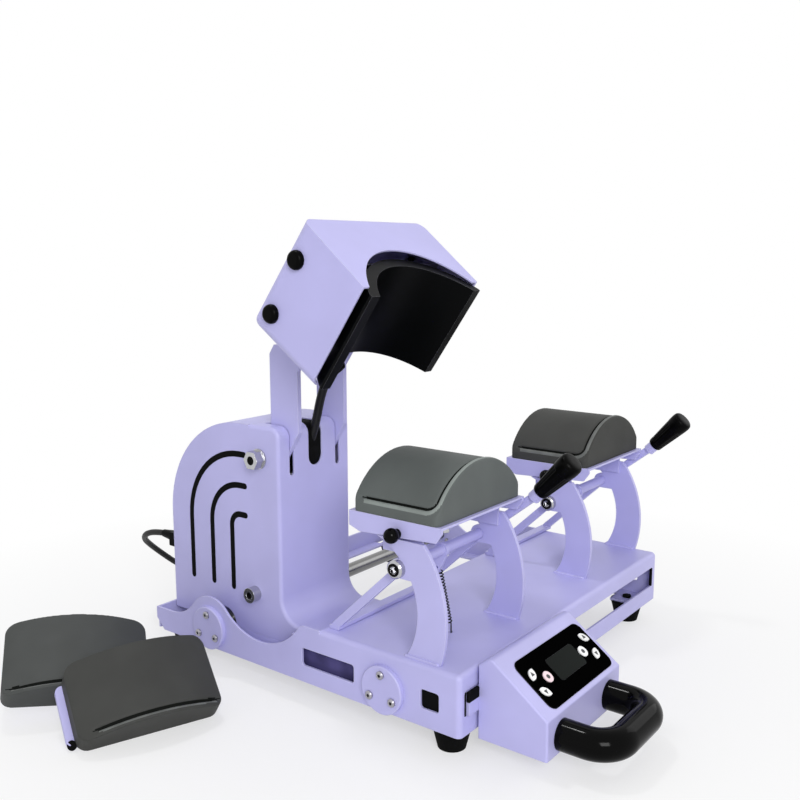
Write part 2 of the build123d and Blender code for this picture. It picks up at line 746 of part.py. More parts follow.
def bearing_blocks():
    """Blocks under the bed that hold the ball bushes."""
    blocks = []
    for x, y in bearing_block_places():
        outline = rectangle(
            y - BLOCK_H / 2, y + BLOCK_H / 2, BLOCK_LOW, CARRIAGE_TOP - SHEET, 2
        ) - disc((y, RAIL_Z), BEARING_R)
        blocks.append(along_x(outline, x - BLOCK_W / 2, x + BLOCK_W / 2))
    return blocks


def linear_bearings():
    """Ball bushes that run on the rails."""
    bushes = []
    for x, y in bearing_block_places():
        ring = disc((y, RAIL_Z), BEARING_R) - disc((y, RAIL_Z), RAIL_R + RUNNING)
        bushes.append(along_x(ring, x - BEARING_L / 2, x + BEARING_L / 2))
    return bushes


# ---------------------------------------------------------------- tower
def tower_outline(inset, low):
    """Side view of the tower: flared foot, upright front, bullnose, flat top and round back."""
    front = TOWER_FRONT + inset
    top = TOWER_C[1] + TOWER_R - inset
    back = TOWER_C[0] + TOWER_R - inset
    nose = BULLNOSE_R - inset
    toe = CARRIAGE_TOP + SHEET - inset
    flare = (TOWER_FRONT - FLARE_R, CARRIAGE_TOP + SHEET + FLARE_R)
    nose_c = (front + nose, top - nose)
    return make_face([
        Line((flare[0], low), (flare[0], toe)).edge(),
        arc_about(flare, (flare[0], toe), (front, flare[1])).edge(),
        Line((front, flare[1]), (front, nose_c[1])).edge(),
        arc_about(nose_c, (front, nose_c[1]), (nose_c[0], top)).edge(),
        Line((nose_c[0], top), (TOWER_C[0], top)).edge(),
        arc_about(TOWER_C, (TOWER_C[0], top), (back, TOWER_C[1])).edge(),
        Line((back, TOWER_C[1]), (back, low)).edge(),
        Line((back, low), (flare[0], low)).edge(),
    ])


def bent_wrap(inset, low, radius):
    """Front part of the tower block, its upright edges bent round by radius."""
    front = rectangle(0, SEAM_Y, -50, 400)
    half = TOWER_HALF_W - inset
    block = along_x(tower_outline(inset, low) & front, TOWER_X - half, TOWER_X + half)
    edges = [
        e for e in block.edges()
        if abs(abs(e.center().X - TOWER_X) - half) < 0.1
        and e.center().Y < SEAM_Y - 1
        and e.center().Z > CARRIAGE_TOP + SHEET - inset + 1
    ]
    return fillet(edges, radius)


def slot_cutter(x, width, low, back):
    """Cuts a slot up the tower's front, over the bullnose and along its top."""
    top = TOWER_C[1] + TOWER_R
    nose = TOWER_FRONT + BULLNOSE_R
    face = rectangle(x - width / 2, x + width / 2, low + width / 2, top + 10)
    face += disc((x, low + width / 2), width / 2)
    roof = rectangle(x - width / 2, x + width / 2, TOWER_FRONT - 5, back - width / 2)
    roof += disc((x, back - width / 2), width / 2)
    return along_y(face, TOWER_FRONT - 5, nose) + along_z(roof, top - BULLNOSE_R, top + 5)


def vent(radius):
    """A curved vent: a stub along the top, a quarter turn and a leg down the back."""
    centre = TOWER_C
    top = (centre[0], centre[1] + radius)
    back = (centre[0] + radius, centre[1])
    path = Wire([
        Line((VENT_STUB_Y, top[1]), top).edge(),
        arc_about(centre, top, back).edge(),
        Line(back, (back[0], VENT_LOW)).edge(),
    ])
    return SlotArc(path, VENT_W)


def tower_shell():
    """Tower sides and front of one folded sheet, slotted for the arms and vented."""
    low = TOWER_LOW
    shell = bent_wrap(0, low, TOWER_BEND)
    back = rectangle(SEAM_Y, 500, -50, 400)
    rear = tower_outline(0, low) & back
    rear += disc((RAIL_REAR_Y, RAIL_Z), REAR_LOBE_R) & rectangle(0, 500, 0, low + 1)
    left = TOWER_X - TOWER_HALF_W
    right = TOWER_X + TOWER_HALF_W
    shell -= bent_wrap(SHEET, low - 10, TOWER_BEND - SHEET)
    shell += along_x(rear, left, left + SHEET)
    shell += along_x(rear, right - SHEET, right)
    foot_back = TOWER_FRONT - FLARE_R
    shell += box(left, right, TOWER_FOOT_Y, foot_back, CARRIAGE_TOP, CARRIAGE_TOP + SHEET)
    holes = disc(ARM_PIVOT, ARM_SHAFT_R) + disc(ACTUATOR_EYE, ACTUATOR_BOLT_R)
    holes += disc((RAIL_REAR_Y, RAIL_Z), REAR_BEARING_HOLE_R)
    for radius in VENT_RADII:
        holes += vent(radius)
    shell -= along_x(holes, left - 1, right + 1)
    for side in (-1, 1):
        shell -= slot_cutter(TOWER_X + side * ARM_X, ARM_SLOT_W, ARM_SLOT_LOW, ARM_SLOT_BACK)
    return shell - slot_cutter(TOWER_X, CABLE_SLOT_W, CABLE_SLOT_LOW, CABLE_SLOT_BACK)


def tower_rear_cover():
    """Curved back cover with flanges inside the tower sides and a cut-out for the inlet."""
    low = TOWER_LOW + 3
    back = rectangle(SEAM_Y + SEAT, 500, low, 400)
    sheet = (tower_outline(0, low) - tower_outline(COVER_T, low - 5)) & back
    rim = (tower_outline(0, low) - tower_outline(COVER_FLANGE, low - 5)) & back
    inner = TOWER_HALF_W - SHEET - SEAT
    cover = along_x(sheet, TOWER_X - inner, TOWER_X + inner)
    cover += along_x(rim, TOWER_X - inner, TOWER_X - inner + COVER_T)
    cover += along_x(rim, TOWER_X + inner - COVER_T, TOWER_X + inner)
    half_w, half_h = INLET_W / 2 - 2, INLET_H / 2 - 2
    middle = inlet_middle()
    cut = rectangle(
        INLET_X - half_w, INLET_X + half_w, middle - half_h, middle + half_h, 1
    )
    return cover - along_y(cut, TOWER_C[0] + TOWER_R - 5, TOWER_C[0] + TOWER_R + 5)


def inlet_middle():
    """Height of the middle of the inlet module."""
    return (INLET_Z + ROCKER_Z) / 2


def hex_bolt(centre, radius, left, right, head, nut):
    """Bolt along X with a hexagonal head and nut outside left and right."""
    bolt = along_x(disc(centre, radius), left - nut[1], right)
    bolt += along_x(disc(centre, nut[0] + 1.5), left - 1.5, left)
    bolt += along_x(Pos(*centre) * RegularPolygon(nut[0] * 1.1, 6), left - nut[1], left - 1.5)
    return bolt + along_x(Pos(*centre) * RegularPolygon(head[0], 6), right, right + head[1])


def tower_bolts():
    """Arm pivot bolt and actuator bolt through the tower sides."""
    left = TOWER_X - TOWER_HALF_W
    right = TOWER_X + TOWER_HALF_W
    pivot = hex_bolt(ARM_PIVOT, ARM_SHAFT_R, left, right, (10, 7.5), (9, 12))
    lower = along_x(disc(ACTUATOR_EYE, ACTUATOR_BOLT_R), left - 8, right)
    cap = along_x(disc(ACTUATOR_EYE, 8), left - 10, left)
    cap -= along_x(Pos(*ACTUATOR_EYE) * RegularPolygon(4.6, 6), left - 10, left - 4)
    lower = lower - along_x(Pos(*ACTUATOR_EYE) * RegularPolygon(4.6, 6), left - 10, left - 4)
    lower += cap
    lower += along_x(Pos(*ACTUATOR_EYE) * RegularPolygon(9.5, 6), right, right + 8)
    return [pivot, lower]


# ---------------------------------------------------------------- arms
def arm_outline():
    """Hockey stick arm: boss round the pivot, upright band and a limb forward to the pin."""
    boss_touch = (ARM_PIVOT[0] - ARM_BOSS_R, ARM_PIVOT[1])
    elbow = ((ARM_Y[0] + ARM_Y[1]) / 2, ARM_ELBOW_Z)
    half = (ARM_Y[1] - ARM_Y[0]) / 2
    band = polygon(
        boss_touch, (ARM_Y[0], ARM_BAND_LOW), (ARM_Y[0], ARM_ELBOW_Z), (elbow[0], ARM_ELBOW_Z + half),
        (ARM_Y[1] - half / 3, ARM_ELBOW_Z + half), (ARM_Y[1], ARM_ELBOW_Z + half / 2),
        (ARM_Y[1], ARM_BAND_LOW), (ARM_PIVOT[0] + ARM_BOSS_R, ARM_PIVOT[1]),
    )
    outline = band + disc(ARM_PIVOT, ARM_BOSS_R) + bar(elbow, float_pin(), half, ARM_END_R)
    return outline


def arm_plates():
    """The two arms that carry the head."""
    outline = arm_outline() - disc(ARM_PIVOT, HUB_R) - disc(float_pin(), FLOAT_PIN_R + RUNNING)
    plates = []
    for side in (-1, 1):
        middle = TOWER_X + side * ARM_X
        plates.append(along_x(outline, middle - ARM_T / 2, middle + ARM_T / 2))
    return plates


def arm_hub():
    """Tube on the pivot bolt that joins the arms, with a horn and pin for the actuator."""
    reach = ARM_X + ARM_T / 2
    tube = disc(ARM_PIVOT, HUB_R) - disc(ARM_PIVOT, ARM_SHAFT_R + RUNNING)
    hub = along_x(tube, TOWER_X - reach, TOWER_X + reach)
    horn = bar(ARM_PIVOT, HORN_PIN, HUB_R, 9) - disc(ARM_PIVOT, ARM_SHAFT_R + RUNNING)
    for side in (-1, 1):
        face = TOWER_X + side * HORN_HALF_GAP
        hub += along_x(horn, min(face, face + side * HORN_T), max(face, face + side * HORN_T))
    half = HORN_HALF_GAP + HORN_T
    return hub + along_x(disc(HORN_PIN, HORN_PIN_R), TOWER_X - half, TOWER_X + half)


def heater_cable():
    """Sleeved heater lead clipped down the middle between the arms into the tower."""
    points = [
        (TOWER_X, 204.0, 301.0), (TOWER_X, 216.0, 286.0), (TOWER_X, 224.0, 268.0),
        (TOWER_X, 230.5, 243.0), (TOWER_X, 238.5, 222.0), (TOWER_X, 242.6, 205.9),
        (TOWER_X, 245.5, 194.0),
    ]
    return lead(points, 4.5)


def lead(points, radius):
    """A round lead along straight runs joined by the largest arcs that they allow."""
    radii = corner_radii(points)
    path = FilletPolyline(*points, radius=radii)
    start = Plane(path @ 0, z_dir=path % 0)
    return sweep(start * Circle(radius), path=path)


def corner_radii(points):
    """Radius at each corner: 0.45 of the shorter run over the tangent of half the turn."""
    radii = []
    for before, corner, after in zip(points, points[1:], points[2:]):
        into = Vector(corner) - Vector(before)
        out = Vector(after) - Vector(corner)
        half_turn = math.radians(into.get_angle(out) / 2)
        radii.append(0.45 * min(into.length, out.length) / math.tan(half_turn))
    return radii


# ---------------------------------------------------------------- actuator
def actuator_way():
    """Unit direction from the lower eye to the rod eye."""
    eye = rod_eye()
    length = math.dist(ACTUATOR_EYE, eye)
    return (eye[0] - ACTUATOR_EYE[0]) / length, (eye[1] - ACTUATOR_EYE[1]) / length


def rod_eye():
    """Middle of the rod eye, set off from the horn pin to share the play over the stroke."""
    return HORN_PIN[0] + EYE_OFFSET[0], HORN_PIN[1] + EYE_OFFSET[1]


def on_actuator(distance, side=0.0):
    """Point at a distance up the actuator from its lower eye, moved aside in Y and Z."""
    way = actuator_way()
    return Vector(
        TOWER_X, ACTUATOR_EYE[0] + way[0] * distance + way[1] * side,
        ACTUATOR_EYE[1] + way[1] * distance - way[0] * side,
    )


def up_actuator(radius, start, end, side=0.0):
    """A cylinder along the actuator."""
    way = actuator_way()
    plane = Plane(on_actuator(start, side), x_dir=(1, 0, 0), z_dir=(0, way[0], way[1]))
    return extrude(plane * Circle(radius), amount=end - start)


def actuator_body():
    """Lower eye, cylinder tube and the motor beside it."""
    start, end = ACTUATOR_TUBE
    body = up_actuator(ACTUATOR_TUBE_R, start, end)
    eye = along_x(disc(ACTUATOR_EYE, 12), TOWER_X - 8, TOWER_X + 8)
    body += eye + up_actuator(9, 4, start)
    body += up_actuator(13.5, start + 14, end - 6, side=30.0)
    gearbox = Plane(
        on_actuator(start, 15), x_dir=(1, 0, 0), z_dir=(0, actuator_way()[0], actuator_way()[1])
    )
    body += extrude(gearbox * RectangleRounded(34, 62, 8), amount=14)
    body -= up_actuator(ROD_R + RUNNING, start + 16, end)
    return body - along_x(disc(ACTUATOR_EYE, ACTUATOR_BOLT_R + RUNNING), TOWER_X - 9, TOWER_X + 9)


def actuator_rod():
    """Rod and the eye that takes the horn pin."""
    eye = rod_eye()
    length = math.dist(ACTUATOR_EYE, eye)
    rod = up_actuator(ROD_R, ROD_START, length - ROD_EYE_R + 3)
    rod += along_x(disc(eye, ROD_EYE_R), TOWER_X - ROD_EYE_T / 2, TOWER_X + ROD_EYE_T / 2)
    return rod - along_x(disc(eye, ROD_EYE_BORE_R), TOWER_X - ROD_EYE_T, TOWER_X + ROD_EYE_T)


# ---------------------------------------------------------------- head
def cover_block(inset):
    """Outer block of the head cover, or its inside where inset is the sheet."""
    front_top = (HEAD_FRONT_TOP[0] + inset, HEAD_FRONT_TOP[1] - inset)
    front_low = (HEAD_FRONT_LOW[0] + inset, HEAD_FRONT_LOW[1] - inset)
    rear_low = (HEAD_REAR_LOW[0] - inset, HEAD_REAR_LOW[1] - inset)
    rear_top = (HEAD_REAR_TOP[0] - inset, HEAD_REAR_TOP[1] - inset)
    side = polygon(front_top, front_low, rear_low, rear_top)
    corner = side.vertices().sort_by_distance(Vector(*rear_top))[0]
    side = fillet(corner, HEAD_REAR_R - inset)
    half = HEAD_HALF_W - inset
    block = along_x(side, TOWER_X - half, TOWER_X + half)
    top = [
        e for e in block.edges()
        if abs(abs(e.center().X - TOWER_X) - half) < 0.1 and e.center().Z > front_top[1] - 12
        and e.center().Y > front_top[0] + 5
    ]
    return fillet(top, HEAD_SHOULDER_R - inset)


def head_cover():
    """Folded cover, open below, arched in front and behind, and open at the back for the arms."""
    cover = cover_block(0) - cover_block(HEAD_SHEET)
    arch_z = HEAD_FRONT_LOW[1] + HEAD_ARCH_RISE - HEAD_ARCH_R
    cover -= along_y(disc((TOWER_X, arch_z), HEAD_ARCH_R), 0, HEAD_REAR_LOW[0] + 5)
    gap = HEAD_HALF_W - HEAD_REAR_FLANGE
    top = HEAD_REAR_TOP[1] - HEAD_SHEET - 1
    window = rectangle(TOWER_X - gap, TOWER_X + gap, HEAD_REAR_LOW[1] - 5, top)
    cover -= along_y(window, HEAD_REAR_LOW[0] - HEAD_REAR_R - HEAD_SHEET, HEAD_REAR_LOW[0] + 5)
    knobs = disc(KNOB_POINTS[0], 3) + disc(KNOB_POINTS[1], 3)
    cover -= along_x(knobs, TOWER_X - HEAD_HALF_W - 1, TOWER_X + HEAD_HALF_W + 1)
    return swing_open(cover)


def heater_radius():
    """Inner radius of the heater's arch from its rise and half width."""
    return (HEATER_INNER_HALF_W**2 + HEATER_RISE**2) / (2 * HEATER_RISE)


def heater_plate():
    """Arched heating plate with flat sides and narrow rims."""
    radius = heater_radius()
    centre = (TOWER_X, HEATER_RIM_Z + HEATER_RISE - radius)
    slab = disc(centre, radius + HEATER_T) - disc(centre, radius)
    top = HEATER_RIM_Z + HEATER_RISE + HEATER_T
    slab &= rectangle(TOWER_X - HEATER_HALF_W, TOWER_X + HEATER_HALF_W, HEATER_RIM_Z, top + 1)
    return swing_open(along_y(slab, *HEATER_Y))


def heater_bracket():
    """Trough bolted in the cover that carries the heater below and the float pin above."""
    half = HEAD_HALF_W - HEAD_SHEET - SEAT
    top = BRACKET_Z + BRACKET_T
    bracket = box(TOWER_X - half, TOWER_X + half, *BRACKET_Y, BRACKET_Z, top)
    side = rectangle(*BRACKET_Y, top, BRACKET_TOP, 0)
    side -= disc(KNOB_POINTS[0], 2.5) + disc(KNOB_POINTS[1], 2.5)
    for near in (-half, half - BRACKET_T):
        bracket += along_x(side, TOWER_X + near, TOWER_X + near + BRACKET_T)
    ear = rectangle(HEAD_PIN[0] - 18, HEAD_PIN[0] + 18, top, HEAD_PIN[1])
    ear += disc(HEAD_PIN, 14)
    ear -= disc(HEAD_PIN, FLOAT_PIN_R)
    for side_sign in (-1, 1):
        middle = TOWER_X + side_sign * EAR_X
        bracket += along_x(ear, middle - EAR_T / 2, middle + EAR_T / 2)
    radius = heater_radius() + HEATER_T
    centre_z = HEATER_RIM_Z + HEATER_RISE + HEATER_T - radius
    for dx in (-40, 40):
        low = centre_z + math.sqrt(radius**2 - 35**2)
        for y in (BRACKET_Y[0] + 14, BRACKET_Y[1] - 14):
            bracket += along_z(disc((TOWER_X + dx, y), 5), low - 6, BRACKET_Z)
    bracket -= along_y(disc((TOWER_X, centre_z), radius + 0.2), 0, 200)
    return swing_open(bracket)


def float_shaft():
    """Pin that the head floats on at the ends of the arms."""
    reach = ARM_X + ARM_T / 2 + 6
    pin = along_x(disc(HEAD_PIN, FLOAT_PIN_R), TOWER_X - reach, TOWER_X + reach)
    for side in (-1, 1):
        near = side * (ARM_X + ARM_T / 2 + SEAT)
        far = near + side * 4
        ring = disc(HEAD_PIN, FLOAT_PIN_R + 4)
        pin += along_x(ring, TOWER_X + min(near, far), TOWER_X + max(near, far))
    return swing_open(pin)


def head_knobs():
    """Domed black screws that hold the cover to the trough."""
    knobs = []
    half = HEAD_HALF_W
    for y, z in KNOB_POINTS:
        shank = along_x(disc((y, z), 2.5), TOWER_X - half, TOWER_X - half + 9)
        head = along_x(disc((y, z), KNOB_R), TOWER_X - half - 6, TOWER_X - half)
        head = fillet(head.faces().sort_by(Axis.X)[0].edges(), 4)
        knob = shank + head
        knobs.append(swing_open(knob))
        knobs.append(swing_open(mirror(knob, Plane.YZ.offset(TOWER_X))))
    return knobs


# ---------------------------------------------------------------- control box
def box_outline():
    """Side view of the control box: upright back, sloping panel and upright front."""
    return polygon(
        (-BOX_GAP, BOX_LOW), (-BOX_GAP, BOX_TOP_REAR[1]), BOX_APEX, BOX_BROW,
        (BOX_BROW[0], BOX_LOW),
    )


def panel_plane():
    """Plane on the sloping face: X to the right, Y up the slope from the brow's apex."""
    slope = Vector(0, BOX_APEX[0] - BOX_BROW[0], BOX_APEX[1] - BOX_BROW[1]).normalized()
    normal = Vector(1, 0, 0).cross(slope)
    return Plane((0, *BOX_APEX), x_dir=(1, 0, 0), z_dir=normal)


def on_panel(outline, low, high):
    """Extrude an outline drawn on the sloping face between two heights above it."""
    plane = panel_plane()
    return extrude(plane.offset(low) * outline, amount=high - low, dir=plane.z_dir)


def panel_rectangle(x, s, radius):
    """A rectangle on the slope, from its X range and its range down from the apex."""
    return rectangle(x[0], x[1], -s[1], -s[0], radius)


def control_box():
    """Folded and closed box with a recess and a window for the panel."""
    block = along_x(box_outline(), *BOX_X)
    block = fillet(block.edges().filter_by(Axis.X).sort_by(Axis.Z)[-1], BOX_APEX_R)
    edges = [
        e for e in block.edges()
        if e.center().Z > BOX_LOW + 1 and e.center().Y < -BOX_GAP - 1
        and abs(e.center().X - (BOX_X[0] + BOX_X[1]) / 2) > 1
    ]
    edges += block.edges().filter_by(Axis.X).group_by(Axis.Y)[0].sort_by(Axis.Z)[-1:]
    block = fillet(edges, BOX_EDGE_R)
    inner = offset(box_outline(), -BOX_WALL)
    block -= along_x(inner, BOX_X[0] + BOX_WALL, BOX_X[1] - BOX_WALL)
    block -= on_panel(panel_rectangle(PANEL_X, PANEL_S, PANEL_R), -PANEL_SUNK, 5)
    ledge = PANEL_LEDGE
    window = panel_rectangle(
        (PANEL_X[0] + ledge, PANEL_X[1] - ledge), (PANEL_S[0] + ledge, PANEL_S[1] - ledge),
        PANEL_R - ledge,
    )
    return block - on_panel(window, -BOX_WALL - 2, 5)


def button_outline(name, gap=0.0):
    """Outline of one button on the slope, grown by a gap for its hole."""
    x, s, turn = BUTTONS[name]
    if turn is None:
        return Pos(x, -s) * Circle(ROUND_BUTTON_R + gap)
    length, width = EYE_BUTTON[0] / 2, EYE_BUTTON[1] / 2
    radius = (length**2 + width**2) / (2 * width)
    eye = Pos(0, radius - width) * Circle(radius + gap)
    eye &= Pos(0, width - radius) * Circle(radius + gap)
    return Pos(x, -s) * Rot(0, 0, turn) * eye


def control_panel():
    """Black panel with holes for the buttons and a recess for the display."""
    panel = on_panel(panel_rectangle(PANEL_X, PANEL_S, PANEL_R), -PANEL_SUNK, PANEL_PROUD)
    panel -= on_panel(panel_rectangle(DISPLAY_X, DISPLAY_S, 3), PANEL_PROUD - 1, PANEL_PROUD)
    for name in BUTTONS:
        panel -= on_panel(button_outline(name, HOLE_GAP), -PANEL_SUNK - 1, PANEL_PROUD + 1)
    return panel


def display_window():
    """Smoked window that fills the recess."""
    return on_panel(panel_rectangle(DISPLAY_X, DISPLAY_S, 3), PANEL_PROUD - 1, PANEL_PROUD + 0.1)


def button(name):
    """One key with its stem."""
    return on_panel(button_outline(name), -BUTTON_STEM, BUTTON_PROUD)


def control_board():
    """Circuit board under the panel with a switch below each key and spacers to the box."""
    reach = ((PANEL_X[0] + 1, PANEL_X[1] - 1), (PANEL_S[0] + 2, PANEL_S[1] - 8))
    board = on_panel(panel_rectangle(*reach, 2), -BOARD_DEPTH - BOARD_T, -BOARD_DEPTH)
    for x, s, _ in BUTTONS.values():
        board += on_panel(Pos(x, -s) * Rectangle(5, 5), -BOARD_DEPTH, -BOARD_DEPTH + SWITCH_H / 2)
    for x in (PANEL_X[0] + 2.0, PANEL_X[1] - 2.0):
        for s in (PANEL_S[0] + 20, PANEL_S[1] - 12):
            board += on_panel(Pos(x, -s) * Circle(1.6), -BOARD_DEPTH, -BOX_WALL)
    return board


def handle():
    """Bent round handle on the front of the box."""
    front = BOX_BROW[0]
    back = front - HANDLE_REACH
    path = FilletPolyline(
        (HANDLE_X[0], front, HANDLE_Z), (HANDLE_X[0], back, HANDLE_Z),
        (HANDLE_X[1], back, HANDLE_Z), (HANDLE_X[1], front, HANDLE_Z),
        radius=HANDLE_CORNER_R,
    )
    return sweep(Plane(path @ 0, z_dir=path % 0) * Circle(HANDLE_R), path=path)


# ---------------------------------------------------------------- power inlet and lead
def power_inlet():
    """Moulded inlet with a bay for the connector and a bay for the rocker."""
    back = TOWER_C[0] + TOWER_R
    middle = inlet_middle()
    half_w, half_h = INLET_W / 2, INLET_H / 2
    body = box(
        INLET_X - half_w + 2.2, INLET_X + half_w - 2.2, back - INLET_DEPTH, back,
        middle - half_h + 2.2, middle + half_h - 2.2,
    )
    body += box(INLET_X - half_w, INLET_X + half_w, back, back + 2, middle - half_h, middle + half_h)
    width, height = CONNECTOR[0] / 2 + HOLE_GAP, CONNECTOR[1] / 2 + HOLE_GAP
    bay = rectangle(INLET_X - width, INLET_X + width, INLET_Z - height, INLET_Z + height)
    body -= along_y(bay, back - 16, back + 3)
    width, height = ROCKER_SIZE[0] / 2 + HOLE_GAP, ROCKER_SIZE[1] / 2 + HOLE_GAP
    bay = rectangle(INLET_X - width, INLET_X + width, ROCKER_Z - height, ROCKER_Z + height)
    return body - along_y(bay, back - 12, back + 3)


def rocker_switch():
    """Rocker with two faces that meet at its pivot."""
    back = TOWER_C[0] + TOWER_R
    half = ROCKER_SIZE[1] / 2
    outline = polygon(
        (back - 3, ROCKER_Z - half + 0.6), (back - 8, ROCKER_Z - 3), (back - 8, ROCKER_Z + 3),
        (back - 3, ROCKER_Z + half - 0.6), (back + 4.4, ROCKER_Z + half - 0.6),
        (back + 1.6, ROCKER_Z), (back + 0.6, ROCKER_Z - half + 0.6),
    )
    outline &= disc((back - 3, ROCKER_Z), half)
    half_w = ROCKER_SIZE[0] / 2
    return along_x(outline, INLET_X - half_w, INLET_X + half_w)


def power_connector():
    """Moulded appliance connector in the inlet with its tapered strain relief."""
    back = TOWER_C[0] + TOWER_R
    width, height = CONNECTOR[0] / 2, CONNECTOR[1] / 2
    block = rectangle(INLET_X - width, INLET_X + width, INLET_Z - height, INLET_Z + height, 2)
    body = along_y(block, back - 15.5, back + CONNECTOR_OUT)
    start = Plane((INLET_X, back + CONNECTOR_OUT, INLET_Z), z_dir=(0, 1, 0))
    end = Plane((INLET_X, back + CONNECTOR_OUT + RELIEF_L, INLET_Z), z_dir=(0, 1, 0))
    return body + loft([start * Circle(7), end * Circle(CORD_R + 0.8)])


def cord_tube():
    """The lead from the strain relief to the coil, and its tail from the coil to the plug."""
    return [lead(CORD_ROUTE, CORD_R), lead(CORD_TAIL, CORD_R)]


def cord_coil():
    """Outer shape of the coiled lead on the floor."""
    low = -FOOT_HEIGHT
    ring = disc(COIL_C, COIL_R + 2 * CORD_R) - disc(COIL_C, COIL_R - 2 * CORD_R)
    return along_z(ring, low, low + 2 * CORD_R * COIL_LAYERS)


def mains_plug():
    """Moulded plug with three blades, flat on the floor at the end of the tail."""
    end, before = Vector(*CORD_TAIL[-1]), Vector(*CORD_TAIL[-2])
    way = (end - before).normalized()
    plane = Plane(end, x_dir=Vector(0, 0, 1).cross(way), z_dir=way)
    drop = PLUG[2] / 2 - (CORD_TAIL[-1][2] + FOOT_HEIGHT)
    relief = extrude(plane * Circle(CORD_R + 1.2), amount=PLUG_RELIEF_L)
    body = Pos(0, drop, 0) * RectangleRounded(PLUG[1], PLUG[2], 4)
    plug = relief + extrude(plane.offset(PLUG_RELIEF_L) * body, amount=PLUG[0])
    tip = plane.offset(PLUG_RELIEF_L + PLUG[0])
    for dx in (-BLADE_PITCH / 2, BLADE_PITCH / 2):
        plug += extrude(tip * Pos(dx, drop + 2) * Rectangle(BLADE[2], BLADE[1]), amount=BLADE[0])
    return plug + extrude(tip * Pos(0, drop - 4) * Circle(2.4), amount=BLADE[0])


# ---------------------------------------------------------------- spare platens
def spare_plane(spare):
    """Plane of a spare platen's underside, X along its width and Y along its depth."""
    origin, width_way, depth_way, _, _ = spare
    normal = Vector(*width_way).cross(Vector(*depth_way))
    return Plane(origin, x_dir=width_way, z_dir=normal)


def spare_pad(spare):
    """Low arched pad of a spare platen, with upright round corners."""
    _, _, _, (width, depth), (wall, rise) = spare
    half = width / 2
    radius = (half**2 + rise**2) / (2 * rise)
    pad = along_y(pad_outline(half, wall + rise, radius + 0.5, 0), 0, depth)
    corners = rectangle(-half, half, 0, depth, SPARE_CORNER_R)
    return spare_plane(spare) * (pad & along_z(corners, -1, wall + rise + 1))


def spare_plate(spare):
    """Folded plate under a spare platen with a flange each side."""
    _, _, _, (width, depth), _ = spare
    half = width / 2 - SPARE_PLATE_INSET
    front, back = SPARE_PLATE_INSET, depth - SPARE_PLATE_INSET
    plate = along_z(rectangle(-half, half, front, back, SPARE_CORNER_R), -PLATE_T, 0)
    flange = polygon(
        (front + SPARE_CORNER_R, 0), (front + 14, -SPARE_FLANGE + 5), (front + 20, -SPARE_FLANGE),
        (back - 20, -SPARE_FLANGE), (back - 14, -SPARE_FLANGE + 5), (back - SPARE_CORNER_R, 0),
    )
    for near in (-half, half - PLATE_T):
        plate += along_x(flange, near, near + PLATE_T)
    return spare_plane(spare) * plate


# ---------------------------------------------------------------- write the nodes
save("base_shell", base_shell())
save("base_rear_wall", base_rear_wall())
save("rubber_feet", *rubber_feet())
save("rails", *rails())
save("rail_flanges", *rail_flanges())
save("flange_screws", *flange_screws())
save("station_bolts", *saddle_bolts(), *yoke_shafts())
for number, station_x in enumerate(STATION_X, start=1):
    save(f"legs_{number}", *legs(station_x))
    save(f"saddle_{number}", saddle(station_x))
    save(f"spring_{number}", springs(station_x))
    save(f"yoke_{number}", yoke(station_x))
    save(f"yoke_grip_{number}", yoke_grip(station_x))
    save(f"platen_plate_{number}", platen_plate(station_x))
    save(f"platen_pad_{number}", platen_pad(station_x))
    save(f"clamp_knob_{number}", clamp_knob(station_x))
save("carriage_plate", carriage_plate())
save("bearing_blocks", *bearing_blocks())
save("linear_bearings", *linear_bearings())
save("tower_shell", tower_shell())
save("tower_rear_cover", tower_rear_cover())
save("tower_bolts", *tower_bolts())
save("arm_plates", *arm_plates())
save("arm_hub", arm_hub())
save("heater_cable", heater_cable())
save("actuator_body", actuator_body())
save("actuator_rod", actuator_rod())
save("head_cover", head_cover())
save("heater_plate", heater_plate())
save("heater_bracket", heater_bracket())
save("float_shaft", float_shaft())
save("head_knobs", *head_knobs())
save("control_box", control_box())
save("control_panel", control_panel())
save("display_window", display_window())
save("control_board", control_board())
for button_name in BUTTONS:
    save(button_name, button(button_name))
save("handle", handle())
save("power_inlet", power_inlet())
save("rocker_switch", rocker_switch())
save("power_connector", power_connector())
save("cord_tube", *cord_tube())
save("cord_coil", cord_coil())
save("mains_plug", mains_plug())
for number, spare_platen in enumerate(SPARES, start=1):
    save(f"spare_pad_{number}", spare_pad(spare_platen))
    save(f"spare_plate_{number}", spare_plate(spare_platen))
print("cord radii", [round(r) for r in corner_radii(CORD_ROUTE)], "mm")
print("cord tail radii", [round(r) for r in corner_radii(CORD_TAIL)], "mm")
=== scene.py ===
"""Cap heat press: finishes, silicone pads, springs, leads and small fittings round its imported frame."""

import json
import logging
import math
from dataclasses import dataclass
from enum import Enum
from typing import Callable, Sequence

import bmesh
import bpy
from mathutils import Matrix, Vector


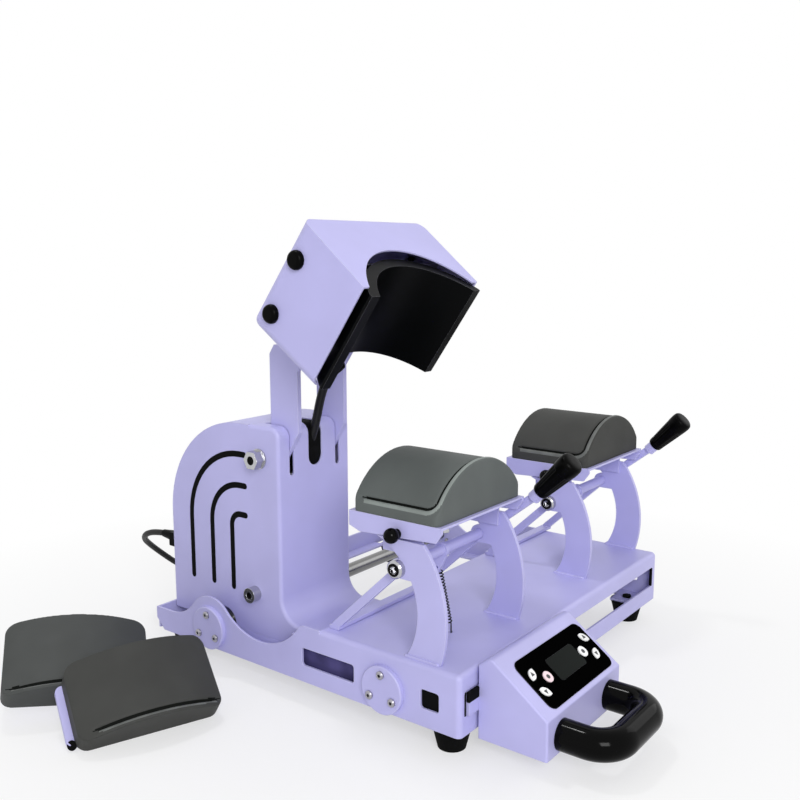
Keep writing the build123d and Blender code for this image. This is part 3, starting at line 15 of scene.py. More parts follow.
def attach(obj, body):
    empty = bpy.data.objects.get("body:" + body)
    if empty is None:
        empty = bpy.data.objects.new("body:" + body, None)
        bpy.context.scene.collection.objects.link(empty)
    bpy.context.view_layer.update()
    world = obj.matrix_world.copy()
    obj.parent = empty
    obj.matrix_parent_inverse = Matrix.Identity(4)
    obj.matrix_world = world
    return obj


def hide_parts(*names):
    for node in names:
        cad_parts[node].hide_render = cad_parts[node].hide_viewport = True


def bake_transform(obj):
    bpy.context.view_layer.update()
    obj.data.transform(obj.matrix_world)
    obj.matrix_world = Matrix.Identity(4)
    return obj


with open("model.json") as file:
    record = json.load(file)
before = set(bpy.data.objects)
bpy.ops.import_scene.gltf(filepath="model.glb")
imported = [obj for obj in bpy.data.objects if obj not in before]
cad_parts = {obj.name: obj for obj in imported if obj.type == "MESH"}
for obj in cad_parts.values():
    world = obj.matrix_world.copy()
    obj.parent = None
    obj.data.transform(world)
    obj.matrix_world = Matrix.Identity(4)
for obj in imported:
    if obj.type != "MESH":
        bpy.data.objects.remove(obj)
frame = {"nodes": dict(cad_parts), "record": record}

LOG = logging.getLogger("cap_press")
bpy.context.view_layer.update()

Colour = tuple[float, float, float]
Number3 = tuple[float, float, float]

MM = 0.001
FOOT_INSET = 25.0
FOOT_HEIGHT = 24.0
STATION_MIDDLES = (74.8, 352.8)

RIGHT, LEFT = Vector((1, 0, 0)), Vector((-1, 0, 0))
BACK, UP = Vector((0, 1, 0)), Vector((0, 0, 1))

HEX_SIDES, ROUND_SIDES = 6, 32
WIRE_SIDES, STEPS_PER_TURN = 8, 16
NO_CREASE = 99.0
FULL_TURN = 360.0

PATCH_STOPS = (0.35, 0.65)
EDGE_STARTS, EDGE_FULL = 0.995, 0.8
# Painted highlight: the pale tint that a finish's edges are lightened toward.
EDGE_HIGHLIGHT_TINT = (0.9, 0.9, 1.0, 1)
MIX_FACTOR, MIX_A, MIX_B, MIX_RESULT = 0, 6, 7, 2


def at(x: float, y: float, z: float) -> Vector:
    """Turn a place on the press's drawing into the frame.

    Args:
        x: Distance to the right of the chassis' lower front left corner, in mm.
        y: Distance behind that corner, in mm.
        z: Height above that corner, in mm.

    Returns:
        The same place in the frame, in metres.
    """
    return Vector(((x - FOOT_INSET) * MM, (y - FOOT_INSET) * MM, (z + FOOT_HEIGHT) * MM))


def facing(origin: Vector, across: Vector, normal: Vector) -> Matrix:
    """Return the placement whose X lies across and whose Z is the normal.

    Args:
        origin: Where the placement's origin goes.
        across: Direction of its X axis.
        normal: Direction of its Z axis.

    Returns:
        The placement.
    """
    z = normal.normalized()
    x = (across - z * across.dot(z)).normalized()
    turn = Matrix((x, z.cross(x), z)).transposed().to_4x4()
    return Matrix.Translation(origin) @ turn


# ---------------------------------------------------------------- finishes
class Nodes:
    """A small writer for the node tree of a material or of the world."""

    def __init__(self, owner: bpy.types.Material | bpy.types.World) -> None:
        """Empty the tree and add its output, and a material's shader and object coordinates.

        Args:
            owner: The material or the world whose tree is written.
        """
        owner.use_nodes = True
        self.tree = owner.node_tree
        self.tree.nodes.clear()
        if isinstance(owner, bpy.types.World):
            self.output = self.add("ShaderNodeOutputWorld")
            return
        self.output = self.add("ShaderNodeOutputMaterial")
        self.shader = self.add("ShaderNodeBsdfPrincipled")
        self.link(self.shader, "BSDF", self.output, "Surface")
        self.place = self.add("ShaderNodeTexCoord")

    def add(self, kind: str, **values: object) -> bpy.types.Node:
        """Add a node and set its sockets or properties by name.

        Args:
            kind: Blender's name of the node type.
            **values: Socket values by socket name, with _ for a space, or property values.

        Returns:
            The new node.
        """
        return self.set(self.tree.nodes.new(kind), **values)

    def set(self, node: bpy.types.Node, **values: object) -> bpy.types.Node:
        """Set a node's sockets or properties by name.

        Args:
            node: The node.
            **values: As in add.

        Returns:
            The node.
        """
        for name, value in values.items():
            socket = node.inputs.get(name.replace("_", " "))
            if socket is not None:
                socket.default_value = value
            else:
                setattr(node, name, value)
        return node

    def link(self, source: bpy.types.Node, out: str | int, target: bpy.types.Node, into: str | int) -> None:
        """Join one node's output to another's input, each by its name or number."""
        self.tree.links.new(source.outputs[out], target.inputs[into])

    def noise(self, size_mm: float, detail: float = 3.0) -> bpy.types.Node:
        """Add a noise pattern on the object coordinates.

        Args:
            size_mm: Size of one blotch.
            detail: Number of finer layers.

        Returns:
            The noise node.
        """
        noise = self.add("ShaderNodeTexNoise", Scale=1 / (size_mm * MM), Detail=detail)
        self.link(self.place, "Object", noise, "Vector")
        return noise

    def shown_rays(self) -> bpy.types.Node:
        """Add a value of 1 for rays that show the surroundings: seen, mirrored or through glass.

        Returns:
            The node whose first output holds the value.
        """
        path = self.add("ShaderNodeLightPath")
        total, out = path, "Is Camera Ray"
        for name in ("Is Glossy Ray", "Is Transmission Ray"):
            either = self.add("ShaderNodeMath", operation="MAXIMUM")
            self.link(total, out, either, 0)
            self.link(path, name, either, 1)
            total, out = either, 0
        return total


@dataclass(frozen=True)
class Finish:
    """A surface with slow colour variation, fine grain, and softened edges that carry a painted highlight."""

    name: str
    colour: Colour
    roughness: float
    metallic: float = 0.0
    specular: float = 0.5
    variation: float = 0.06
    patch_mm: float = 30.0
    grain_mm: float = 0.8
    grain_depth_mm: float = 0.02
    edge_mm: float = 0.0
    edge_highlight: float = 0.0
    roughness_spread: float = 0.12

    def material(self) -> bpy.types.Material:
        """Build the material.

        Returns:
            A material that reads only object coordinates and the surface's own shape.
        """
        made = bpy.data.materials.new(self.name)
        nodes = Nodes(made)
        nodes.set(nodes.shader, Metallic=self.metallic, Specular_IOR_Level=self.specular)
        self.soften(nodes, self.paint(nodes))
        self.polish(nodes)
        return made

    def paint(self, nodes: Nodes) -> bpy.types.Node:
        """Add the colour with its slow patches.

        Args:
            nodes: The tree being written.

        Returns:
            The node whose Color output holds the colour.
        """
        ramp = nodes.add("ShaderNodeValToRGB")
        for stop, position, sign in zip(ramp.color_ramp.elements, PATCH_STOPS, (-1, 1)):
            stop.position = position
            stop.color = (*(min(1.0, c * (1 + sign * self.variation)) for c in self.colour), 1)
        nodes.link(nodes.noise(self.patch_mm, 2.0), "Fac", ramp, "Fac")
        return ramp

    def soften(self, nodes: Nodes, colour: bpy.types.Node) -> None:
        """Round the edges in the shading, and lighten the colour there as a painted highlight.

        Args:
            nodes: The tree being written.
            colour: Node whose Color output holds the colour.
        """
        bump = nodes.add("ShaderNodeBump", Strength=1.0, Distance=self.grain_depth_mm * MM)
        nodes.link(nodes.noise(self.grain_mm), "Fac", bump, "Height")
        nodes.link(bump, "Normal", nodes.shader, "Normal")
        if not self.edge_mm:
            nodes.link(colour, "Color", nodes.shader, "Base Color")
            return
        edge = nodes.add("ShaderNodeBevel", samples=6, Radius=self.edge_mm * MM)
        nodes.link(edge, "Normal", bump, "Normal")
        turned = nodes.add("ShaderNodeVectorMath", operation="DOT_PRODUCT")
        nodes.link(edge, "Normal", turned, 0)
        nodes.link(nodes.add("ShaderNodeNewGeometry"), "Normal", turned, 1)
        # Painted highlight: lighten the colour where the bevelled normal turns from the true one.
        lit_edge = nodes.add("ShaderNodeMapRange", From_Min=EDGE_STARTS, From_Max=EDGE_FULL, To_Min=0.0,
                         To_Max=self.edge_highlight)
        nodes.link(turned, "Value", lit_edge, "Value")
        mix = nodes.add("ShaderNodeMix", data_type="RGBA")
        nodes.link(lit_edge, "Result", mix, MIX_FACTOR)
        nodes.link(colour, "Color", mix, MIX_A)
        mix.inputs[MIX_B].default_value = EDGE_HIGHLIGHT_TINT
        nodes.link(mix, MIX_RESULT, nodes.shader, "Base Color")

    def polish(self, nodes: Nodes) -> None:
        """Vary the roughness a little about its value.

        Args:
            nodes: The tree being written.
        """
        low, high = self.roughness * (1 - self.roughness_spread), self.roughness * (1 + self.roughness_spread)
        spread = nodes.add("ShaderNodeMapRange", To_Min=low, To_Max=min(1.0, high))
        nodes.link(self.smears(nodes), "Fac", spread, "Value")
        nodes.link(spread, "Result", nodes.shader, "Roughness")

    def smears(self, nodes: Nodes) -> bpy.types.Node:
        """Add the pattern that the roughness follows, and return its node."""
        return nodes.noise(self.patch_mm * 0.6, 4.0)


@dataclass(frozen=True)
class TurnedMetal(Finish):
    """Metal with fine rings or lines left by its tool, along one axis."""

    roughness_spread: float = 0.25
    line_mm: float = 0.5
    line_axis: str = "X"

    def smears(self, nodes: Nodes) -> bpy.types.Node:
        """Add the tool's lines.

        Args:
            nodes: The tree being written.

        Returns:
            The wave node.
        """
        wave = nodes.add("ShaderNodeTexWave", bands_direction=self.line_axis, Scale=0.5 / (self.line_mm * MM),
                         Distortion=1.5, Detail=3.0)
        nodes.link(nodes.place, "Object", wave, "Vector")
        return wave


@dataclass(frozen=True)
class CircuitBoard(Finish):
    """Green solder mask with paler tracks."""

    track_mm: float = 2.2

    def paint(self, nodes: Nodes) -> bpy.types.Node:
        """Add the mask with its tracks.

        Args:
            nodes: The tree being written.

        Returns:
            The node whose Color output holds the colour.
        """
        bricks = nodes.add("ShaderNodeTexBrick", Scale=1 / (self.track_mm * MM) / 3, Mortar_Size=0.06)
        for name, share in (("Color1", 1.0), ("Color2", 0.9), ("Mortar", 1.8)):
            bricks.inputs[name].default_value = (*(min(1.0, c * share) for c in self.colour), 1)
        nodes.link(nodes.place, "Object", bricks, "Vector")
        return bricks


LAVENDER: Colour = (0.470, 0.456, 0.775)
FINISHES: dict[str, Finish] = {
    "lavender_paint": Finish("lavender_powder_coat", LAVENDER, 0.42, variation=0.03, patch_mm=60, grain_mm=1.1,
                             edge_mm=0.9, edge_highlight=0.45),
    "black_rubber": Finish("black_rubber", (0.004, 0.004, 0.004), 0.72, specular=0.04, grain_mm=0.6,
                           grain_depth_mm=0.05, edge_mm=0.8, edge_highlight=0.02),
    "rail_steel": TurnedMetal("ground_rail_steel", (0.20, 0.20, 0.20), 0.24, metallic=1.0, grain_depth_mm=0.002,
                              line_mm=0.4),
    "zinc_steel": Finish("zinc_plated_steel", (0.40, 0.39, 0.42), 0.30, metallic=1.0, patch_mm=8,
                         grain_depth_mm=0.005, edge_mm=0.4, edge_highlight=0.2),
    "chrome": Finish("bright_chrome", (0.50, 0.50, 0.52), 0.18, metallic=1.0, patch_mm=12,
                     grain_depth_mm=0.002, edge_mm=0.5, edge_highlight=0.2),
    "black_cable": Finish("cable_sheath", (0.008, 0.008, 0.008), 0.48, specular=0.25, grain_mm=0.5,
                          grain_depth_mm=0.02),
    "aluminium_case": TurnedMetal("satin_aluminium", (0.62, 0.63, 0.65), 0.34, metallic=1.0, line_axis="Z"),
    "heater_coating": Finish("release_coating", (0.0012, 0.0014, 0.0016), 0.34, specular=0.05, patch_mm=40,
                             grain_mm=0.5, grain_depth_mm=0.008, edge_mm=0.35, edge_highlight=0.22),
    "black_plastic": Finish("satin_black_plastic", (0.0015, 0.0015, 0.0015), 0.30, specular=0.04, grain_mm=0.35,
                            grain_depth_mm=0.010, edge_mm=0.5, edge_highlight=0.03),
    "gloss_black": Finish("gloss_black_moulding", (0.0010, 0.0010, 0.0010), 0.11, specular=0.07,
                          grain_mm=6, grain_depth_mm=0.01),
    "panel_film": Finish("panel_film", (0.001, 0.001, 0.001), 0.45, specular=0.0, grain_mm=0.25,
                         grain_depth_mm=0.006, edge_mm=0.5, edge_highlight=0.12),
    "display_glass": Finish("smoked_window", (0.006, 0.008, 0.007), 0.2, specular=0.02, grain_depth_mm=0.0),
    "board_green": CircuitBoard("circuit_board", (0.02, 0.16, 0.06), 0.4),
    "key_white": Finish("white_key", (0.84, 0.84, 0.84), 0.40, grain_depth_mm=0.004, edge_mm=0.3,
                        edge_highlight=0.1),
    "key_power": Finish("pale_pink_key", (0.84, 0.66, 0.70), 0.40, grain_depth_mm=0.004, edge_mm=0.3,
                        edge_highlight=0.1),
    "dark_spring": TurnedMetal("oiled_spring_wire", (0.02, 0.02, 0.025), 0.40, metallic=1.0, line_axis="Z"),
    "silicone_grey": Finish("grey_silicone", (0.102, 0.114, 0.111), 0.60, specular=0.22, variation=0.06,
                            patch_mm=45, grain_mm=0.7, grain_depth_mm=0.03),
    "silicone_dark": Finish("dark_silicone", (0.060, 0.064, 0.062), 0.58, specular=0.22, variation=0.07,
                            patch_mm=45, grain_mm=0.7, grain_depth_mm=0.03),
}
DARK_MARK = Finish("dark_mark", (0.03, 0.03, 0.035), 0.5)
CREASE_SHADE = Finish("crease_shade", (0.010, 0.011, 0.010), 0.85, specular=0.0)
# Painted highlight: the lit band along the rolled lip, paler on the grey pads and dimmer on the darker ones.
LIP_PAINTED_HIGHLIGHT = Finish("lip_painted_highlight", (0.235, 0.262, 0.250), 0.60, specular=0.2, variation=0.10, patch_mm=20)
LIP_PAINTED_HIGHLIGHT_DARK = Finish("lip_painted_highlight_dark", (0.135, 0.142, 0.136), 0.60, specular=0.2, variation=0.15, patch_mm=15)
# Painted shade: a dark violet sheet with blotchy variation, for the shade seen through the chassis' long
# window.
PAINTED_SHADE_SHEET = Finish("painted_shade_sheet", (0.085, 0.075, 0.20), 0.9, specular=0.0, variation=0.35, patch_mm=34,
                     grain_mm=0.9, grain_depth_mm=0.08)
# Painted shade: the grey silicone darkened for the second station's pad; the second spare pad takes the same
# tone.
SILICONE_DARKENED = Finish("silicone_darkened", (0.049, 0.050, 0.047), 0.60, specular=0.15, variation=0.07,
                      patch_mm=45, grain_mm=0.7, grain_depth_mm=0.03)


class Wardrobe:
    """Materials by finish, each made once."""

    def __init__(self) -> None:
        """Start with no material made."""
        self.made: dict[str, bpy.types.Material] = {}

    def of(self, finish: Finish) -> bpy.types.Material:
        """Return the material of a finish, made at its first use.

        Args:
            finish: The finish.

        Returns:
            Its material.
        """
        if finish.name not in self.made:
            self.made[finish.name] = finish.material()
        return self.made[finish.name]

    def dress(self, piece: bpy.types.Object, slot: str, finish: Finish | None = None) -> None:
        """Give a piece the finish of a slot and log the slot's name for it.

        Args:
            piece: The piece.
            slot: A slot of the record.
            finish: A finish that it has instead of the slot's own.
        """
        piece.data.materials.clear()
        piece.data.materials.append(self.of(finish or FINISHES[slot]))
        LOG.info("piece %s finished as %s", piece.name, slot)

    def fit(self, piece: bpy.types.Object, slot: str, body: str, finish: Finish | None = None) -> None:
        """Dress a piece that is in place and put it on its body.

        Args:
            piece: The piece.
            slot: A slot of the record.
            body: The body that it rides on.
            finish: A finish that it has instead of the slot's own.
        """
        self.dress(piece, slot, finish)
        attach(piece, body)

    def tint(self, piece: bpy.types.Object, finish: Finish, test: Callable[[Vector], bool]) -> None:
        """Give the faces whose middle passes a test a further finish.

        Args:
            piece: The piece, dressed already.
            finish: The further finish.
            test: Takes the middle of a face.
        """
        piece.data.materials.append(self.of(finish))
        index = len(piece.data.materials) - 1
        for face in piece.data.polygons:
            if test(face.center):
                face.material_index = index

    def dress_frame(self) -> None:
        """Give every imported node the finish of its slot."""
        for row in frame["record"]["subparts"]:
            for place in frame["nodes"][row["node"]].material_slots:
                place.link = "OBJECT"
                place.material = self.of(FINISHES[row["material_slot"]])
            LOG.info("node %s finished as %s", row["node"], row["material_slot"])


# ---------------------------------------------------------------- the modelling bench
class Bench:
    """Operators that the pieces share, each with its selection made in code."""

    @staticmethod
    def clear() -> None:
        """Leave edit mode and deselect everything."""
        if bpy.context.object is not None and bpy.context.object.mode != "OBJECT":
            bpy.ops.object.mode_set(mode="OBJECT")
        bpy.ops.object.select_all(action="DESELECT")

    @staticmethod
    def take(piece: bpy.types.Object) -> None:
        """Make a piece the only selected and active one.

        Args:
            piece: The piece.
        """
        Bench.clear()
        piece.select_set(True)
        bpy.context.view_layer.objects.active = piece

    @staticmethod
    def named(name: str) -> bpy.types.Object:
        """Name the piece that an operator has just added, and settle it.

        Args:
            name: Name of the piece and its mesh.

        Returns:
            The piece.
        """
        piece = bpy.context.object
        piece.name = name
        piece.data.name = name
        return Bench.settle(piece)

    @staticmethod
    def settle(piece: bpy.types.Object, place: Matrix | None = None) -> bpy.types.Object:
        """Put a piece in its place, with the place in its mesh and its object at the origin.

        Args:
            piece: The piece.
            place: Where it goes, or None to keep it where it is.

        Returns:
            The piece.
        """
        Bench.take(piece)
        if place is not None:
            piece.matrix_world = place @ piece.matrix_world
            bpy.context.view_layer.update()
        bpy.ops.object.transform_apply(location=True, rotation=True, scale=True)
        return piece

    @staticmethod
    def edit(piece: bpy.types.Object, mode: str = "FACE", action: str = "DESELECT") -> None:
        """Open a piece in edit mode.

        Args:
            piece: The piece.
            mode: What is selected: FACE or EDGE.
            action: DESELECT for nothing selected, or SELECT for everything.
        """
        Bench.take(piece)
        bpy.ops.object.mode_set(mode="EDIT")
        bpy.ops.mesh.select_mode(type=mode)
        bpy.ops.mesh.select_all(action=action)

    @staticmethod
    def pick_faces(piece: bpy.types.Object, test: Callable[[Vector, Vector], bool]) -> None:
        """Select the faces of the open piece whose middle and normal pass a test.

        Args:
            piece: The piece in edit mode.
            test: Takes the middle and the normal of a face.
        """
        bpy.ops.mesh.select_all(action="DESELECT")
        mesh = bmesh.from_edit_mesh(piece.data)
        mesh.normal_update()
        for face in mesh.faces:
            if test(face.calc_center_median(), face.normal):
                face.select_set(True)
        mesh.select_flush_mode()
        bmesh.update_edit_mesh(piece.data)

    @staticmethod
    def round_uprights(piece: bpy.types.Object, radius: float, segments: int, left_of: float = math.inf
                       ) -> None:
        """Round a block's upright edges, all of them or those left of a place along X.

        Args:
            piece: The block.
            radius: Radius of the edges in mm.
            segments: Steps round each edge.
            left_of: The place in mm.
        """
        Bench.edit(piece, "EDGE")
        mesh = bmesh.from_edit_mesh(piece.data)
        for edge in mesh.edges:
            a, b = (end.co for end in edge.verts)
            if abs((a - b).normalized().z) > 0.9 and a.x < left_of * MM:
                edge.select_set(True)
        bmesh.update_edit_mesh(piece.data)
        bpy.ops.mesh.bevel(offset=radius * MM, segments=segments, affect="EDGES")
        Bench.clear()

    @staticmethod
    def modify(piece: bpy.types.Object, kind: str, **values: object) -> None:
        """Add a modifier, set it and apply it.

        Args:
            piece: The piece.
            kind: Blender's name of the modifier type.
            **values: Settings of the modifier.
        """
        Bench.take(piece)
        bpy.ops.object.modifier_add(type=kind)
        modifier = piece.modifiers[-1]
        for name, value in values.items():
            setattr(modifier, name, value)
        bpy.ops.object.modifier_apply(modifier=modifier.name)

    @staticmethod
    def round_edges(piece: bpy.types.Object, radius: float, segments: int = 2, degrees: float = 50.0) -> None:
        """Round the edges where a piece's faces turn by more than an angle.

        Args:
            piece: The piece.
            radius: Radius of the edges in mm.
            segments: Steps round each edge.
            degrees: The angle.
        """
        Bench.modify(piece, "BEVEL", width=radius * MM, segments=segments, limit_method="ANGLE",
                     angle_limit=math.radians(degrees))

    @staticmethod
    def smooth(piece: bpy.types.Object, degrees: float = 40.0) -> None:
        """Shade a piece smooth except over sharp edges."""
        Bench.take(piece)
        bpy.ops.object.shade_smooth_by_angle(angle=math.radians(degrees))

    @staticmethod
    def outward(piece: bpy.types.Object) -> None:
        """Merge doubles and point the faces outwards.

        Args:
            piece: The piece, open in edit mode or not.
        """
        Bench.edit(piece, action="SELECT")
        bpy.ops.mesh.remove_doubles(threshold=1e-6)
        bpy.ops.mesh.normals_make_consistent(inside=False)
        Bench.clear()

    @staticmethod
    def thicken(piece: bpy.types.Object, shift: Number3) -> None:
        """Extrude a flat open sheet into a solid.

        Args:
            piece: The sheet.
            shift: How far it goes along each axis, in mm.
        """
        Bench.edit(piece, "EDGE", "SELECT")
        bpy.ops.mesh.extrude_region_move(TRANSFORM_OT_translate={"value": tuple(Vector(shift) * MM)})
        Bench.outward(piece)

    @staticmethod
    def join(piece: bpy.types.Object, *others: bpy.types.Object) -> None:
        """Join further pieces to a piece.

        Args:
            piece: The piece.
            *others: The pieces that become part of it.
        """
        Bench.take(piece)
        for other in others:
            other.select_set(True)
        bpy.ops.object.join()

    @staticmethod
    def copied(piece: bpy.types.Object, name: str, shift: Number3) -> bpy.types.Object:
        """Copy a piece with its own mesh, moved by a distance in mm.

        Args:
            piece: The piece to copy.
            name: Name of the copy.
            shift: How far it is moved along each axis, in mm.

        Returns:
            The copy.
        """
        Bench.take(piece)
        bpy.ops.object.duplicate(linked=False)
        return Bench.settle(Bench.named(name), Matrix.Translation(Vector(shift) * MM))

    @staticmethod
    def block(name: str, low: Number3, high: Number3) -> bpy.types.Object:
        """Add a square block between two corners, for further work.

        Args:
            name: Name of the piece.
            low: Its lowest corner in mm.
            high: Its highest corner in mm.

        Returns:
            The block, at the origin.
        """
        Bench.clear()
        size = [(b - a) * MM for a, b in zip(low, high)]
        middle = [(a + b) / 2 * MM for a, b in zip(low, high)]
        bpy.ops.mesh.primitive_cube_add(size=1, location=middle, scale=size)
        return Bench.named(name)

    @staticmethod
    def lathe(name: str, profile: Sequence[tuple[float, float]], sides: int = 48) -> bpy.types.Object:
        """Build a turned piece along Z by extruding and scaling its end face.

        Args:
            name: Name of the piece.
            profile: Pairs of height and radius in mm, from the low end up.
            sides: Sides round the axis.

        Returns:
            The piece, at the origin.
        """
        Bench.clear()
        height, radius = profile[0]
        bpy.ops.mesh.primitive_circle_add(
            vertices=sides, radius=radius * MM, fill_type="NGON", location=(0, 0, height * MM))
        piece = Bench.named(name)
        Bench.edit(piece, action="SELECT")
        for next_height, next_radius in profile[1:]:
            bpy.ops.mesh.extrude_region_move(
                TRANSFORM_OT_translate={"value": (0, 0, (next_height - height) * MM)})
            ratio = next_radius / radius
            bpy.ops.transform.resize(value=(ratio, ratio, 1), center_override=(0, 0, 0))
            height, radius = next_height, next_radius
        Bench.outward(piece)
        return piece

    @staticmethod
    def strip(name: str, path: Sequence[tuple[float, float]], width: float, span: tuple[float, float]
              ) -> bpy.types.Object:
        """Build a flat bar with round ends that follows a path drawn in Y and Z.

        Args:
            name: Name of the piece.
            path: Pairs of Y and Z on the press's drawing, in mm.
            width: Width of the bar across its path, in mm.
            span: Where it starts and ends along X, in mm.

        Returns:
            The bar, in place.
        """
        rails = Bench.rails(path, width / 2)
        Bench.clear()
        bpy.ops.mesh.primitive_plane_add(size=MM)
        piece = Bench.named(name)
        Bench.edit(piece, "EDGE")
        mesh = bmesh.from_edit_mesh(piece.data)
        corners = list(next(iter(mesh.faces)).verts)
        for vert, (y, z) in zip(corners, (*rails[0], *reversed(rails[1]))):
            vert.co = at(span[0], y, z)
        for vert in corners[2:]:
            vert.select_set(True)
        mesh.select_flush(True)
        bmesh.update_edit_mesh(piece.data)
        for pair in rails[2:]:
            bpy.ops.mesh.extrude_region_move(TRANSFORM_OT_translate={"value": (0, 0, 0)})
            mesh = bmesh.from_edit_mesh(piece.data)
            ends = [vert for vert in mesh.verts if vert.select]
            left = at(span[0], *pair[0])
            ends.sort(key=lambda vert: (vert.co - left).length)
            for vert, (y, z) in zip(ends, pair):
                vert.co = at(span[0], y, z)
            bmesh.update_edit_mesh(piece.data)
        Bench.thicken(piece, (span[1] - span[0], 0, 0))
        return piece

    @staticmethod
    def rails(path: Sequence[tuple[float, float]], half: float) -> list[tuple[tuple[float, float], ...]]:
        """Offset a path to both sides, and close it with a half round at each end.

        Args:
            path: Pairs of places in mm.
            half: Distance from the path to each side, in mm.

        Returns:
            The two offset places of every station along the path.
        """
        points = [Vector(p) for p in path]
        ways = [(b - a).normalized() for a, b in zip(points, points[1:])]
        turns = [ways[0], *((a + b).normalized() for a, b in zip(ways, ways[1:])), ways[-1]]
        stations = [(point, way, half) for point, way in zip(points, turns)]
        for degrees in (30, 60, 88):
            out, narrow = math.sin(math.radians(degrees)), math.cos(math.radians(degrees))
            stations.insert(0, (points[0] - ways[0] * half * out, ways[0], half * narrow))
            stations.append((points[-1] + ways[-1] * half * out, ways[-1], half * narrow))
        found = []
        for point, way, reach in stations:
            across = Vector((-way.y, way.x)) * reach
            found.append((tuple(point + across), tuple(point - across)))
        return found

    @staticmethod
    def tube(name: str, points: Sequence[Vector], radius: float) -> bpy.types.Object:
        """Build a round lead as a curve through control points.

        Args:
            name: Name of the piece.
            points: Control points in the frame.
            radius: Radius of the lead in mm.

        Returns:
            The curve piece.
        """
        data = bpy.data.curves.new(name, "CURVE")
        data.dimensions = "3D"
        data.bevel_depth = radius * MM
        data.bevel_resolution = 5
        data.use_fill_caps = True
        data.resolution_u = 8
        spline = data.splines.new("NURBS")
        spline.points.add(len(points) - 1)
        for spot, point in zip(spline.points, points):
            spot.co = (*point, 1)
        spline.order_u = 3
        spline.use_endpoint_u = True
        piece = bpy.data.objects.new(name, data)
        bpy.context.collection.objects.link(piece)
        return piece


# ---------------------------------------------------------------- silicone pads
class Crease(Enum):
    """Where a pad's moulded crease runs."""

    SIDES_AND_FRONT = "sides and front"
    FRONT_ONLY = "front only"


